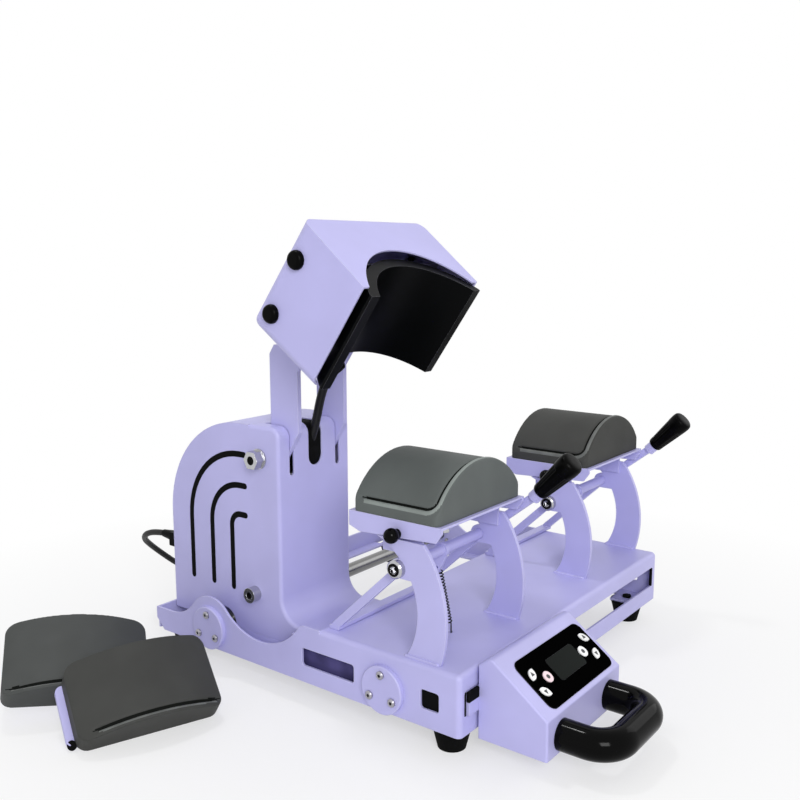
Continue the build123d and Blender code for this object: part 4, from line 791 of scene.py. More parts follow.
@dataclass
class SiliconePad:
    """Moulded silicone pad with an arched top, a rolled rim and a crease inside the rim, all in mm, with
    painted shade in the crease and a painted highlight on the lip.
    """

    name: str
    replaces: str
    body: str
    slot: str
    place: Matrix
    half_width: float
    depth: float
    wall: float
    apex: float
    crease: Crease
    rim: float = 7.0
    corner: float = 9.0
    upright_corner: float = 6.0
    crease_depth: float = 2.4
    crease_width: float = 1.35
    crease_bow: float = 2.0
    shade: tuple[float, float] = (-0.9, 0.65)
    shade_from: float = 0.05
    lip: float = 0.8
    lip_middle: float = 3.4
    lip_spread: float = 2.0
    lip_start: float = 1.2
    lip_width: float = 5.6
    lip_from: float = 0.75
    softness: int = 8
    voxel: float = 0.85
    skin: float = 0.955
    run_out: tuple[float, float] = (9.0, 9.0)
    back_run_out: float = 6.0
    fade: float = 8.0
    finish: Finish | None = None
    lip_highlight_finish: Finish = LIP_PAINTED_HIGHLIGHT

    @property
    def radius(self) -> float:
        """Radius of the arched top, from its rise and half width."""
        rise = self.apex - self.wall
        return (self.half_width**2 + rise**2) / (2 * rise)

    @property
    def reach(self) -> float:
        """Half of the arch's length from side to side."""
        return self.radius * math.asin(self.half_width / self.radius)

    @property
    def axis_height(self) -> float:
        """Height of the arch's axis, in metres."""
        return (self.apex - self.radius) * MM

    def build(self, wardrobe: Wardrobe) -> None:
        """Model the pad, place it and put it on its body.

        Args:
            wardrobe: Where its finish comes from.
        """
        piece = self.blank()
        self.round_corners(piece)
        self.soften(piece)
        self.press_crease(piece)
        Bench.smooth(piece, 75)
        wardrobe.dress(piece, self.slot, self.finish)
        wardrobe.tint(piece, CREASE_SHADE, self.in_crease)
        # Painted highlight on the lip outside the crease.
        wardrobe.tint(piece, self.lip_highlight_finish, self.on_lip)
        Bench.settle(piece, self.place)
        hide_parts(self.replaces)
        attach(piece, self.body)

    def blank(self) -> bpy.types.Object:
        """Cut the arched block from a cylinder and draw its walls down.

        Returns:
            The block, with its underside at Z 0 and its front at Y 0.
        """
        Bench.clear()
        bpy.ops.mesh.primitive_cylinder_add(
            vertices=180, radius=self.radius * MM, depth=self.depth * MM,
            location=(0, self.depth * MM / 2, self.axis_height), rotation=(math.pi / 2, 0, 0))
        piece = Bench.named(self.name)
        Bench.edit(piece, action="SELECT")
        bpy.ops.mesh.bisect(plane_co=(0, 0, self.wall * MM), plane_no=UP, use_fill=True, clear_inner=True)
        Bench.pick_faces(piece, lambda middle, normal: normal.z < -0.9)
        bpy.ops.mesh.extrude_region_move(TRANSFORM_OT_translate={"value": (0, 0, -self.wall * MM)})
        Bench.outward(piece)
        return piece

    def round_corners(self, piece: bpy.types.Object) -> None:
        """Cut the four upright corners round, with a tool block that is thrown away.

        Args:
            piece: The block.
        """
        tool = Bench.block("corner_tool", (-self.half_width, 0.0, -1.0),
                           (self.half_width, self.depth, self.apex + 5))
        Bench.round_uprights(tool, self.upright_corner, 10)
        Bench.modify(piece, "BOOLEAN", operation="INTERSECT", object=tool, solver="EXACT")
        Bench.take(tool)
        bpy.ops.object.delete()

    def soften(self, piece: bpy.types.Object) -> None:
        """Give the block an even, fine mesh and relax its edges.

        Args:
            piece: The block.
        """
        piece.data.remesh_voxel_size = self.voxel * MM
        Bench.take(piece)
        bpy.ops.object.voxel_remesh()
        Bench.modify(piece, "SMOOTH", factor=0.5, iterations=self.softness)

    def press_crease(self, piece: bpy.types.Object) -> None:
        """Press the crease and raise the lip outside it, by moving points along the arch's radius.

        Args:
            piece: The block.
        """
        axis = Vector((0, 0, self.axis_height))
        for point in piece.data.vertices:
            gap = self.gap_at(point.co)
            if gap == NO_CREASE:
                continue
            move = -self.crease_depth * math.exp(-((gap / self.crease_width) ** 2))
            move += self.lip * math.exp(-(((gap - self.lip_middle) / self.lip_spread) ** 2))
            out = (point.co - axis) * Vector((1, 0, 1))
            point.co += out.normalized() * (move * self.strength(point.co) * MM)

    def in_crease(self, spot: Vector) -> bool:
        """Tell whether a place lies in the crease's shade, which narrows to nothing at its ends.

        Args:
            spot: The place, in metres.

        Returns:
            Whether it does.
        """
        strength = self.strength(spot)
        inner, outer = (share * self.crease_width * strength for share in self.shade)
        return strength > self.shade_from and inner < self.gap_at(spot) < outer

    def on_lip(self, spot: Vector) -> bool:
        """Tell whether a place lies on the lip outside the crease, which gets the painted highlight."""
        return self.strength(spot) > self.lip_from and self.lip_start < self.gap_at(spot) < self.lip_width

    def along(self, spot: Vector) -> float:
        """Distance of a place across from the middle, along the arch."""
        return self.radius * math.atan2(spot.x, spot.z - self.axis_height)

    def strength(self, spot: Vector) -> float:
        """Tell how deep the crease is at a place.

        Args:
            spot: The place, in metres.

        Returns:
            A share of its full depth, 0 beyond its ends.
        """
        if self.crease is Crease.SIDES_AND_FRONT:
            left = self.depth - self.back_run_out - spot.y / MM
        else:
            along = self.along(spot)
            left = min(along + self.reach - self.run_out[0], self.reach - self.run_out[1] - along)
        return max(0.0, min(1.0, left / self.fade))

    def gap_at(self, spot: Vector) -> float:
        """Distance of a place outside the crease on the arch laid flat.

        Args:
            spot: The place, in metres.

        Returns:
            The distance, below 0 inside the crease, or NO_CREASE beneath the arch's skin.
        """
        height = math.hypot(spot.x, spot.z - self.axis_height)
        if height < self.radius * MM * self.skin or spot.z < self.wall * MM / 2:
            return NO_CREASE
        along, y = self.along(spot), spot.y / MM
        if self.crease is Crease.FRONT_ONLY:
            return self.rim - y + self.crease_bow * (along / self.reach) ** 4
        x_out = abs(along) - (self.reach - self.rim - self.corner)
        y_out = self.rim + self.corner - y
        outside = math.hypot(max(x_out, 0), max(y_out, 0))
        return outside + min(max(x_out, y_out), 0) - self.corner


# ---------------------------------------------------------------- stations
@dataclass
class Station:
    """One hat station: its pad, spring and grip."""

    number: int
    middle: float
    wardrobe: Wardrobe
    pad_front: float = 27.7
    pad_depth: float = 95.3
    pad_low: float = 182.0
    half_width: float = 69.0
    pad_wall: float = 7.5
    pad_apex: float = 48.0
    lever_offset: float = 75.0
    collar: tuple[float, float] = (12.8, 183.7)
    grip_tip: tuple[float, float] = (-25.5, 221.9)
    grip_collar: tuple[tuple[float, float], ...] = ((4.0, 6.5), (4.4, 7.6), (6.0, 8.4), (10.0, 8.7))
    grip_swell: tuple[tuple[float, float], ...] = (
        (0.30, 9.3), (0.62, 10.9), (0.72, 11.3), (0.80, 11.7), (0.90, 11.9), (0.955, 11.4), (0.985, 10.0),
        (1.0, 7.8))
    flute_span: tuple[float, float] = (10.0, 0.72)
    flute_pitch: float = 45.0
    flute_width: float = 30.0
    spring_hole: tuple[float, float] = (62.0, 55.5)
    spring_lug: tuple[float, float] = (76.5, 119.0)
    spring_shift: float = 2.2
    spring_pitch: float = 2.9
    hook_lengths: tuple[float, float] = (9.0, 5.0)
    coil_radius: float = 2.6
    wire_radius: float = 0.65

    def build(self) -> None:
        """Build the station's new pieces."""
        self.pad()
        self.spring()
        self.grip()

    def pad(self) -> None:
        """Build the silicone pad on the platen."""
        # Painted shade: the second station's pad is the same silicone darkened, with the dimmer lip highlight.
        darker = self.number == 2
        SiliconePad(
            name=f"platen_cushion_{self.number}", replaces=f"platen_pad_{self.number}",
            body=f"platen_{self.number}", slot="silicone_grey",
            place=Matrix.Translation(at(self.middle, self.pad_front, self.pad_low)),
            half_width=self.half_width, depth=self.pad_depth, wall=self.pad_wall, apex=self.pad_apex,
            crease=Crease.SIDES_AND_FRONT, finish=SILICONE_DARKENED if darker else None,
            lip_highlight_finish=LIP_PAINTED_HIGHLIGHT_DARK if darker else LIP_PAINTED_HIGHLIGHT).build(self.wardrobe)

    def spring(self) -> None:
        """Wind the return spring with a hook at each end, straight between the base and the yoke."""
        low = at(self.middle + self.spring_shift, *self.spring_hole)
        high = at(self.middle + self.spring_shift, *self.spring_lug)
        length = (high - low).length / MM
        start, end = self.hook_lengths[0], length - self.hook_lengths[1]
        turns = int((end - start) / self.spring_pitch)
        Bench.clear()
        bpy.ops.mesh.primitive_circle_add(
            vertices=WIRE_SIDES, radius=self.wire_radius * MM, fill_type="NOTHING",
            rotation=(math.pi / 2, 0, 0), location=(self.coil_radius * MM, 0, start * MM))
        piece = Bench.named(f"return_spring_{self.number}")
        Bench.modify(piece, "SCREW", axis="Z", angle=2 * math.pi * turns, screw_offset=(end - start) * MM,
                     steps=STEPS_PER_TURN * turns, render_steps=STEPS_PER_TURN * turns)
        Bench.join(piece, self.hook(start, 0.0), self.hook(end, length))
        Bench.edit(piece, "EDGE", "SELECT")
        bpy.ops.mesh.fill_holes(sides=0)
        Bench.outward(piece)
        Bench.smooth(piece, 50)
        Bench.settle(piece, facing(low, RIGHT, high - low))
        self.wardrobe.dress(piece, "dark_spring")
        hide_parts(f"spring_{self.number}")
        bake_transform(piece)

    def hook(self, start: float, end: float) -> bpy.types.Object:
        """Bend the straight wire from a coil's end to its anchor.

        Args:
            start: Height of the coil's end in mm.
            end: Height of the anchor in mm.

        Returns:
            The wire.
        """
        Bench.clear()
        side = self.coil_radius * MM
        bpy.ops.mesh.primitive_cylinder_add(
            vertices=WIRE_SIDES, radius=self.wire_radius * MM, depth=abs(end - start) * MM,
            location=(side, 0, (start + end) / 2 * MM))
        piece = Bench.named(f"hook_{self.number}")
        Bench.edit(piece)
        toward = math.copysign(1, end - start)
        Bench.pick_faces(piece, lambda middle, normal: normal.z * toward > 0.9)
        bpy.ops.transform.translate(value=(-side, 0, 0))
        return piece

    def grip(self) -> None:
        """Turn the tapered grip and press its flutes."""
        start = at(self.middle + self.lever_offset, *self.collar)
        way = at(self.middle + self.lever_offset, *self.grip_tip) - start
        length = way.length / MM
        swell = [(share * length, radius) for share, radius in self.grip_swell]
        piece = Bench.lathe(f"lever_grip_{self.number}", [*self.grip_collar, *swell, (length + 0.2, 3.0)])
        Bench.edit(piece)
        low, high = self.flute_span[0] * MM, self.flute_span[1] * length * MM
        Bench.pick_faces(piece, lambda middle, normal: (
            low < middle.z < high
            and math.degrees(math.atan2(middle.y, middle.x)) % self.flute_pitch < self.flute_width))
        bpy.ops.mesh.inset(thickness=0.5 * MM, depth=-0.45 * MM)
        Bench.outward(piece)
        Bench.round_edges(piece, 0.25, degrees=25)
        Bench.smooth(piece, 35)
        Bench.settle(piece, facing(start, RIGHT, way))
        self.wardrobe.fit(piece, "black_plastic", f"yoke_{self.number}_frame")
        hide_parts(f"yoke_grip_{self.number}")


@dataclass(frozen=True)
class SpareRest:
    """A spare platen's size in mm and how it lies, by its pad's front edge and its directions."""

    origin: Number3
    across: Number3
    deep: Number3
    width: float
    depth: float
    wall: float
    rise: float
    run_out: tuple[float, float]
    finish: Finish | None = None

    def place(self, forward: float = 0.0, down: float = 0.0) -> Matrix:
        """Return the placement on the platen.

        Args:
            forward: Distance in front of the pad's front edge, in mm.
            down: Distance below its underside, in mm.

        Returns:
            The placement, with Z out of the platen.
        """
        across, deep = Vector(self.across), Vector(self.deep)
        normal = across.cross(deep).normalized()
        return facing(at(*self.origin) - (deep * forward + normal * down) * MM, across, normal)


SPARE_RESTS = (
    SpareRest((-149.8, 340.4, -10.2), (0.846, -0.517, -0.128), (0.512, 0.722, 0.465),
              133.0, 84.0, 14.0, 14.7, (4.0, 9.0)),
    SpareRest((-125.9, 257.3, -22.7), (0.939, -0.343, 0.001), (0.259, 0.71, 0.655),
              132.3, 74.0, 17.5, 18.0, (12.0, 2.0), SILICONE_DARKENED),
)


@dataclass
class SparePlaten:
    """A spare platen's pad, lying on the table."""

    number: int
    wardrobe: Wardrobe
    overhang: float = 0.7
    drop: float = 1.8
    swell: float = 0.8

    def build(self) -> None:
        """Build the pad on its own body."""
        rest = SPARE_RESTS[self.number - 1]
        wall = rest.wall + self.drop
        SiliconePad(
            name=f"spare_cushion_{self.number}", replaces=f"spare_pad_{self.number}",
            body=f"spare_{self.number}", slot="silicone_dark", place=rest.place(self.overhang, self.drop),
            half_width=rest.width / 2 + self.overhang, depth=rest.depth + 2 * self.overhang + self.swell,
            wall=wall, apex=wall + rest.rise + self.swell, crease=Crease.FRONT_ONLY, rim=6.0,
            upright_corner=11.0, softness=10, voxel=0.95, crease_width=2.1, lip_width=3.6,
            run_out=rest.run_out, finish=rest.finish, lip_highlight_finish=LIP_PAINTED_HIGHLIGHT_DARK).build(self.wardrobe)


# ---------------------------------------------------------------- leads
@dataclass
class MainsLead:
    """The mains lead: its visible run, the coil put away behind the press, and its tail."""

    wardrobe: Wardrobe
    radius: float = 3.5
    length_m: float = 1.5
    route: tuple[Number3, ...] = (
        (45.0, 448.0, 91.0), (44.5, 465.0, 89.5), (46.0, 484.0, 83.0), (56.0, 501.0, 71.0),
        (74.0, 511.0, 56.0), (95.0, 514.0, 38.0), (116.0, 513.0, 20.0), (138.0, 511.0, 7.0),
        (166.0, 509.5, -3.5), (200.0, 509.7, -6.0), (232.0, 509.7, -6.5),
    )
    crossing: tuple[Number3, ...] = (
        (1532.0, 36.5, -4.6), (1556.0, 40.0, -2.2), (1579.0, 44.6, -1.0), (1601.0, 48.6, -1.8))
    tail: tuple[Number3, ...] = (
        (238.0, 420.3, -4.6), (220.0, 422.3, -10.5), (206.0, 431.0, -18.5), (195.0, 439.6, -20.4),
        (184.0, 447.0, -20.4),
    )
    coil_middle: tuple[float, float] = (245.0, 467.0)
    outer_radius: float = 42.5
    inner_radius: float = 35.0
    top_height: float = -6.5
    floor_height: float = -20.5
    down_until: float = 720.0
    over_until: float = 795.0
    up_until: float = 1512.5
    points_per_turn: int = 16

    def spot(self, degrees: float, radius: float, height: float) -> Vector:
        """Return a place of the coil.

        Args:
            degrees: Its angle, taken clockwise from the back.
            radius: Its distance from the coil's middle, in mm.
            height: Its height on the drawing, in mm.

        Returns:
            The place in the frame.
        """
        turn = math.radians(degrees)
        return at(self.coil_middle[0] + radius * math.sin(turn),
                  self.coil_middle[1] + radius * math.cos(turn), height)

    def ring(self, degrees: float) -> tuple[float, float]:
        """Tell how the coil lies at an angle from its start.

        Args:
            degrees: The angle: down the outer ring, across on the floor, and up the inner ring.

        Returns:
            The coil's radius and height there, in mm, a diameter apart from turn to turn.
        """
        pitch = 2 * self.radius / FULL_TURN
        if degrees <= self.down_until:
            return self.outer_radius, self.top_height - pitch * degrees
        if degrees > self.over_until:
            return self.inner_radius, self.floor_height + pitch * (degrees - self.over_until)
        share = (degrees - self.down_until) / (self.over_until - self.down_until)
        share = share * share * (3 - 2 * share)
        return self.outer_radius + (self.inner_radius - self.outer_radius) * share, self.floor_height

    def coil(self) -> list[Vector]:
        """Wind the coil from the end of the visible run.

        Returns:
            Its control points in the frame.
        """
        step = FULL_TURN / self.points_per_turn
        stretch = 1 / math.cos(math.radians(step / 2))
        points = []
        for count in range(1, int(self.up_until / step) + 1):
            radius, height = self.ring(count * step)
            points.append(self.spot(count * step, radius * stretch, height))
        return points

    def build(self) -> None:
        points = [at(*p) for p in self.route] + self.coil()
        points += [self.spot(*p) for p in self.crossing] + [at(*p) for p in self.tail]
        piece = Bench.tube("mains_lead", points, self.radius)
        self.wardrobe.fit(piece, "black_cable", "carriage")
        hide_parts("cord_tube", "cord_coil")


@dataclass
class HeaterLead:
    """The sleeved lead from the heater's back down between the arms into the tower."""

    wardrobe: Wardrobe
    radius: float = 4.5
    route: tuple[tuple[float, float], ...] = (
        (245.5, 194.0), (242.6, 205.9), (238.5, 222.0), (230.5, 243.0), (224.0, 268.0), (216.0, 286.0),
        (207.5, 297.6), (199.0, 305.0),
    )
    bend_from: int = 4
    rib_pitch: int = 3
    rib_taper: float = 0.08

    def build(self) -> None:
        """Lay the lead along its route, and turn the gland at its end."""
        points = [at(STATION_MIDDLES[0], y, z) for y, z in self.route]
        piece = Bench.tube("heater_sleeve", points, self.radius)
        self.wardrobe.dress(piece, "black_cable")
        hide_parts("heater_cable")
        Bench.take(piece)
        bpy.ops.object.convert(target="MESH")
        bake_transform(piece)
        self.gland(points[-1], points[-1] - points[-2])

    def gland(self, end: Vector, way: Vector) -> None:
        """Turn the ribbed gland where the sleeve enters the heater.

        Args:
            end: Where the sleeve ends.
            way: Direction in which it arrives.
        """
        profile = [(-22.0, 5.0), (-21.0, 5.6)]
        for height in range(-20, -6, self.rib_pitch):
            rib = 6.0 + (height + 20) * self.rib_taper
            profile += [(height, rib), (height + 1.6, rib), (height + 1.9, 5.4), (height + 2.6, 5.4)]
        profile += [(-5.0, 7.4), (1.0, 7.6), (2.0, 6.6)]
        piece = Bench.lathe("heater_gland", profile, 40)
        Bench.smooth(piece)
        Bench.settle(piece, facing(end, RIGHT, way))
        self.wardrobe.fit(piece, "black_rubber", "head")


# ---------------------------------------------------------------- fittings
@dataclass
class Tower:
    """Black inserts that paint shade inside the tower's vents, and a gaiter in its cable slot."""

    wardrobe: Wardrobe
    middle: float = STATION_MIDDLES[0]
    half_width: float = 53.7
    vent_middle: tuple[float, float] = (290.0, 133.0)
    vent_radii: tuple[float, ...] = (77.0, 44.0, 13.0)
    vent_front: float = 282.0
    vent_foot: float = 65.0
    insert_width: float = 6.3
    insert_span: tuple[float, float] = (-0.3, 1.2)
    gaiter_bend: Number3 = (245.0, 230.0, 9.3)
    gaiter_foot: tuple[float, float] = (233.5, 207.0)
    gaiter_back: float = 262.0
    gaiter_half: float = 9.7
    gaiter_wall: float = 4.4

    def build(self) -> None:
        """Build the tower's new pieces."""
        for number, radius in enumerate(self.vent_radii, start=1):
            self.insert(number, radius)
        self.gaiter()

    def insert(self, number: int, radius: float) -> None:
        """Build one vent's insert for the left side and copy it to the right.

        Args:
            number: Number of the vent, from the outermost.
            radius: Radius of its bend in mm.
        """
        y, z = self.vent_middle
        steps = 14 if radius > 20 else 8
        turns = [math.pi / 2 * step / steps for step in range(steps + 1)]
        path = [(self.vent_front, z + radius),
                *((y + radius * math.sin(turn), z + radius * math.cos(turn)) for turn in turns),
                (y + radius, (z + self.vent_foot) / 2), (y + radius, self.vent_foot)]
        span = tuple(self.middle - self.half_width + end for end in self.insert_span)
        # Painted shade: a black strip behind each vent makes it read dark.
        piece = Bench.strip(f"vent_shade_insert_left_{number}", path, self.insert_width, span)
        Bench.round_edges(piece, 0.15)
        shift = (2 * self.half_width - sum(self.insert_span), 0, 0)
        twin = Bench.copied(piece, f"vent_shade_insert_right_{number}", shift)
        for insert in (piece, twin):
            self.wardrobe.fit(insert, "black_rubber", "carriage")

    def gaiter(self) -> None:
        """Build the gaiter that closes the cable slot round the sleeve."""
        y, z, radius = self.gaiter_bend
        turns = [math.radians(degrees) for degrees in range(0, 91, 15)]
        bend = [(y - radius * math.cos(turn), z + radius * math.sin(turn)) for turn in turns]
        path = [(y - radius, self.gaiter_foot[1]), *bend, (self.gaiter_back, z + radius)]
        span = (self.middle - self.gaiter_half, self.middle + self.gaiter_half)
        wall = Bench.strip("cable_gaiter", path, self.gaiter_wall, span)
        Bench.round_edges(wall, 0.6, 3)
        foot = Bench.lathe("gaiter_foot", [(0.0, 9.0), (0.5, self.gaiter_half), (4.0, self.gaiter_half)], 40)
        Bench.settle(foot, facing(at(self.middle, *self.gaiter_foot), RIGHT, BACK))
        Bench.join(wall, foot)
        Bench.smooth(wall)
        self.wardrobe.fit(wall, "black_rubber", "carriage")


@dataclass
class Fasteners:
    """Black plugs that paint shade in the sockets of the visible bolts and in the stud's end, and black rings
    that paint shade round the shoulder bolts' sockets.
    """

    wardrobe: Wardrobe
    screw_socket: float = 1.5
    shoulder_socket: float = 2.1
    tower_socket: float = 4.3
    stud_radius: float = 4.6
    screw_face: float = -6.6
    screw_circle: float = 15.0
    screw_angles: tuple[float, ...] = (90, -30, -150)
    rail_height: float = 22.5
    rails: tuple[float, float] = (83.0, 318.0)
    shoulder: Number3 = (-71.4, 72.0, 137.0)
    tower_bolt: Number3 = (12.3, 269.8, 64.8)
    stud: Number3 = (8.8, 260.1, 209.0)
    ring_shift: float = -3.0
    ring_radii: tuple[float, float] = (3.7, 6.0)
    ring_thickness: float = 0.5

    def build(self) -> None:
        """Build every fitting."""
        screws = [(self.screw_face, rail + self.screw_circle * math.cos(math.radians(degrees)),
                   self.rail_height + self.screw_circle * math.sin(math.radians(degrees)))
                  for rail in self.rails for degrees in self.screw_angles]
        x, y, z = self.shoulder
        shoulders = [(middle + x, y, z) for middle in STATION_MIDDLES]
        self.plugs("screw_socket", self.screw_socket, screws, "base")
        self.plugs("shoulder_socket", self.shoulder_socket, shoulders, "base")
        self.plugs("tower_socket", self.tower_socket, [self.tower_bolt], "carriage")
        self.plugs("stud_end", self.stud_radius, [self.stud], "carriage", ROUND_SIDES)
        for number, (x, y, z) in enumerate(shoulders, start=1):
            self.ring(f"shoulder_shade_ring_{number}", (x + self.ring_shift, y, z))

    def plugs(self, name: str, radius: float, places: Sequence[Number3], body: str, sides: int = HEX_SIDES
              ) -> None:
        """Build one dark plug that paints the shade of a socket or the stud's end, and copy it to every place.

        Args:
            name: Start of the pieces' names.
            radius: Radius of the plug in mm.
            places: Middle of each plug's outer face, in mm.
            body: The body that they ride on.
            sides: Sides of the plug.
        """
        profile = [(-1.2, radius), (-0.3, radius), (0.0, radius * 0.8), (-0.25, radius * 0.35)]
        first = Bench.lathe(f"{name}_1", profile, sides)
        Bench.settle(first, facing(at(*places[0]), UP, LEFT))
        for number, place in enumerate(places, start=1):
            shift = tuple(b - a for a, b in zip(places[0], place))
            piece = first if number == 1 else Bench.copied(first, f"{name}_{number}", shift)
            self.wardrobe.fit(piece, "black_plastic", body)

    def ring(self, name: str, place: Number3) -> None:
        """Build a flat black ring on a bolt's face, painted shade round its socket.

        Args:
            name: Name of the piece.
            place: Its middle in mm.
        """
        inner, outer = self.ring_radii
        Bench.clear()
        bpy.ops.mesh.primitive_circle_add(vertices=40, radius=inner * MM, fill_type="NOTHING")
        piece = Bench.named(name)
        Bench.edit(piece, "EDGE", "SELECT")
        bpy.ops.mesh.extrude_region_move()
        bpy.ops.transform.resize(value=(outer / inner, outer / inner, 1), center_override=(0, 0, 0))
        Bench.thicken(piece, (0, 0, self.ring_thickness))
        Bench.round_edges(piece, 0.15)
        Bench.settle(piece, facing(at(*place), UP, LEFT))
        self.wardrobe.fit(piece, "black_rubber", "base")


@dataclass(frozen=True)
class Liner:
    """A block with rounded edges, between two corners on the drawing in mm."""

    name: str
    low: Number3
    high: Number3
    soft: float
    slot: str = "black_rubber"
    body: str = "base"
    finish: Finish | None = None

    def build(self, wardrobe: Wardrobe) -> None:
        """Build the block and put it on its body.

        Args:
            wardrobe: Where its finish comes from.
        """
        piece = Bench.block(self.name, self.low, self.high)
        Bench.round_edges(piece, self.soft, 4)
        Bench.smooth(piece)
        Bench.settle(piece, Matrix.Translation(at(0, 0, 0)))
        wardrobe.fit(piece, self.slot, self.body, self.finish)


@dataclass
class Chassis:
    """Black blocks and a dark sheet that paint shade into the chassis' openings, a lavender skirt, and weld
    beads.
    """

    wardrobe: Wardrobe
    liners: tuple[Liner, ...] = (
        # Painted shade: the four black blocks darken the front slot's ends, the slot above the tongue and the
        # small side window; the dark violet sheet on the carriage darkens the long side window.
        Liner("slot_end_shade_left", (7.2, -0.4, 18.3), (9.5, 12.0, 40.7), 0.6),
        Liner("slot_end_shade_right", (410.4, -0.4, 18.3), (412.8, 2.8, 40.7), 0.6),
        Liner("window_shade_block", (2.7, 17.0, 9.0), (9.4, 47.0, 40.0), 1.0),
        Liner("tongue_slot_shade", (9.3, -3.7, 31.0), (26.0, -0.2, 40.7), 0.8, body="carriage"),
        Liner("bed_skirt", (21.2, 206.5, 5.0), (23.5, 294.0, 21.3), 0.8, "lavender_paint", "carriage"),
        Liner("bed_shade_sheet", (9.2, 109.0, 10.0), (9.95, 205.0, 37.0), 0.2, body="carriage", finish=PAINTED_SHADE_SHEET),
    )
    weld_start: tuple[float, float] = (26.5, 57.5)
    weld_length: float = 35.0
    weld_ripple: float = 1.9
    leg_sides: tuple[float, ...] = (-67.9, -63.9, 63.9, 67.9)

    def build(self) -> None:
        """Build the chassis' new pieces."""
        for liner in self.liners:
            liner.build(self.wardrobe)
        self.welds()

    def welds(self) -> None:
        """Build one rippled weld bead and copy it to the foot of every leg."""
        profile, height = [(0.0, 0.7), (0.8, 1.5)], 0.8
        while height < self.weld_length:
            profile += [(height + 0.9, 2.15), (height + self.weld_ripple, 1.75)]
            height += self.weld_ripple
        bead = Bench.lathe("weld_bead_1_1", [*profile, (height + 0.8, 0.6)], 16)
        Bench.smooth(bead, 60)
        start = STATION_MIDDLES[0] + self.leg_sides[0]
        Bench.settle(bead, facing(at(start, *self.weld_start), RIGHT, BACK))
        for number, middle in enumerate(STATION_MIDDLES, start=1):
            for place, side in enumerate(self.leg_sides, start=1):
                name = f"weld_bead_{number}_{place}"
                shift = (middle + side - start, 0, 0)
                piece = bead if name == bead.name else Bench.copied(bead, name, shift)
                self.wardrobe.fit(piece, "lavender_paint", "base")


@dataclass
class SpareBracket:
    """The folded side of the nearer spare platen's plate."""

    wardrobe: Wardrobe
    rest: SpareRest = SPARE_RESTS[1]
    body: str = "spare_2"
    low: Number3 = (-73.5, 7.0, -7.5)
    high: Number3 = (-64.0, 66.0, -0.6)
    end_radius: float = 6.0
    hole: Number3 = (-69.2, 8.4, -1.6)
    hole_way: Number3 = (-0.7, -0.5, 0.8)

    def build(self) -> None:
        """Build the side flange with its round ends, and a black disc that paints the shade of its slot."""
        piece = Bench.block("spare_bracket_side", self.low, self.high)
        Bench.round_uprights(piece, self.end_radius, 8, left_of=-70.0)
        Bench.round_edges(piece, 1.2, 4)
        Bench.smooth(piece)
        Bench.settle(piece, self.rest.place())
        self.wardrobe.fit(piece, "lavender_paint", self.body)
        # Painted shade: a black disc stands for the dark of the slot through the flange.
        hole = Bench.lathe("spare_bracket_hole", [(0.0, 4.0), (0.5, 4.6), (1.0, 4.6), (1.3, 3.8)], 28)
        turn = facing(Vector(self.hole) * MM, BACK, Vector(self.hole_way))
        Bench.settle(hole, self.rest.place() @ turn)
        self.wardrobe.fit(hole, "black_rubber", self.body)


# ---------------------------------------------------------------- control box
@dataclass
class KeyMarks:
    """Dark symbols on the keys of the sloping panel."""

    wardrobe: Wardrobe
    apex: tuple[float, float] = (-14.0, 69.5)
    brow: tuple[float, float] = (-71.0, 28.0)
    top: float = 1.4
    height: float = 0.15
    arrow: tuple[int, float] = (3, 2.7)
    dot: tuple[int, float] = (20, 2.1)
    keys: tuple[tuple[str, float, float, float], ...] = (
        ("time_up", 151.4, 30.9, 90.0), ("time_down", 148.3, 49.3, -90.0),
        ("temp_up", 52.5, 31.7, 90.0), ("temp_down", 50.8, 49.7, -90.0),
        ("set", 134.3, 40.9, 0.0), ("power", 67.6, 40.8, 0.0),
    )

    def build(self) -> None:
        """Build every mark: an arrow that points up or down, or a dot on the two other keys."""
        for key, x, down, turn in self.keys:
            sides, radius = self.arrow if turn else self.dot
            Bench.clear()
            bpy.ops.mesh.primitive_circle_add(
                vertices=sides, radius=radius * MM, fill_type="NGON", rotation=(0, 0, -math.pi / 2))
            piece = Bench.named(f"mark_{key}")
            Bench.thicken(piece, (0, 0, self.height))
            Bench.settle(piece, self.place(x, down, turn))
            self.wardrobe.fit(piece, "black_plastic", f"button_{key}_key", DARK_MARK)

    def place(self, x: float, down: float, turn: float) -> Matrix:
        """Return the placement on a key's top, turned in the panel's plane.

        Args:
            x: The key's place across the drawing, in mm.
            down: Its distance down the panel from the apex, in mm.
            turn: The turn in degrees.

        Returns:
            The placement.
        """
        slope = Vector((0, self.apex[0] - self.brow[0], self.apex[1] - self.brow[1])).normalized()
        normal = RIGHT.cross(slope)
        origin = at(x, *self.apex) - slope * down * MM + normal * self.top * MM
        return facing(origin, RIGHT, normal) @ Matrix.Rotation(math.radians(turn), 4, "Z")


# ---------------------------------------------------------------- studio
@dataclass(frozen=True)
class Viewpoint:
    """Where the camera stands."""

    eye: Number3 = (-0.6462, -0.4393, 0.4371)
    look: Number3 = (0.78295, 0.60250, -0.15488)
    roll_degrees: float = -0.14
    lens: float = 41.88
    sensor: float = 36.0

    def build(self) -> None:
        """Make the scene's camera."""
        data = bpy.data.cameras.new("camera")
        data.lens = self.lens
        data.sensor_width = self.sensor
        data.clip_start = 0.01
        camera = bpy.data.objects.new("camera", data)
        bpy.context.scene.collection.objects.link(camera)
        turn = Vector(self.look).to_track_quat("-Z", "Y").to_matrix().to_4x4()
        roll = Matrix.Rotation(math.radians(self.roll_degrees), 4, "Z")
        camera.matrix_world = Matrix.Translation(self.eye) @ turn @ roll
        bpy.context.scene.camera = camera


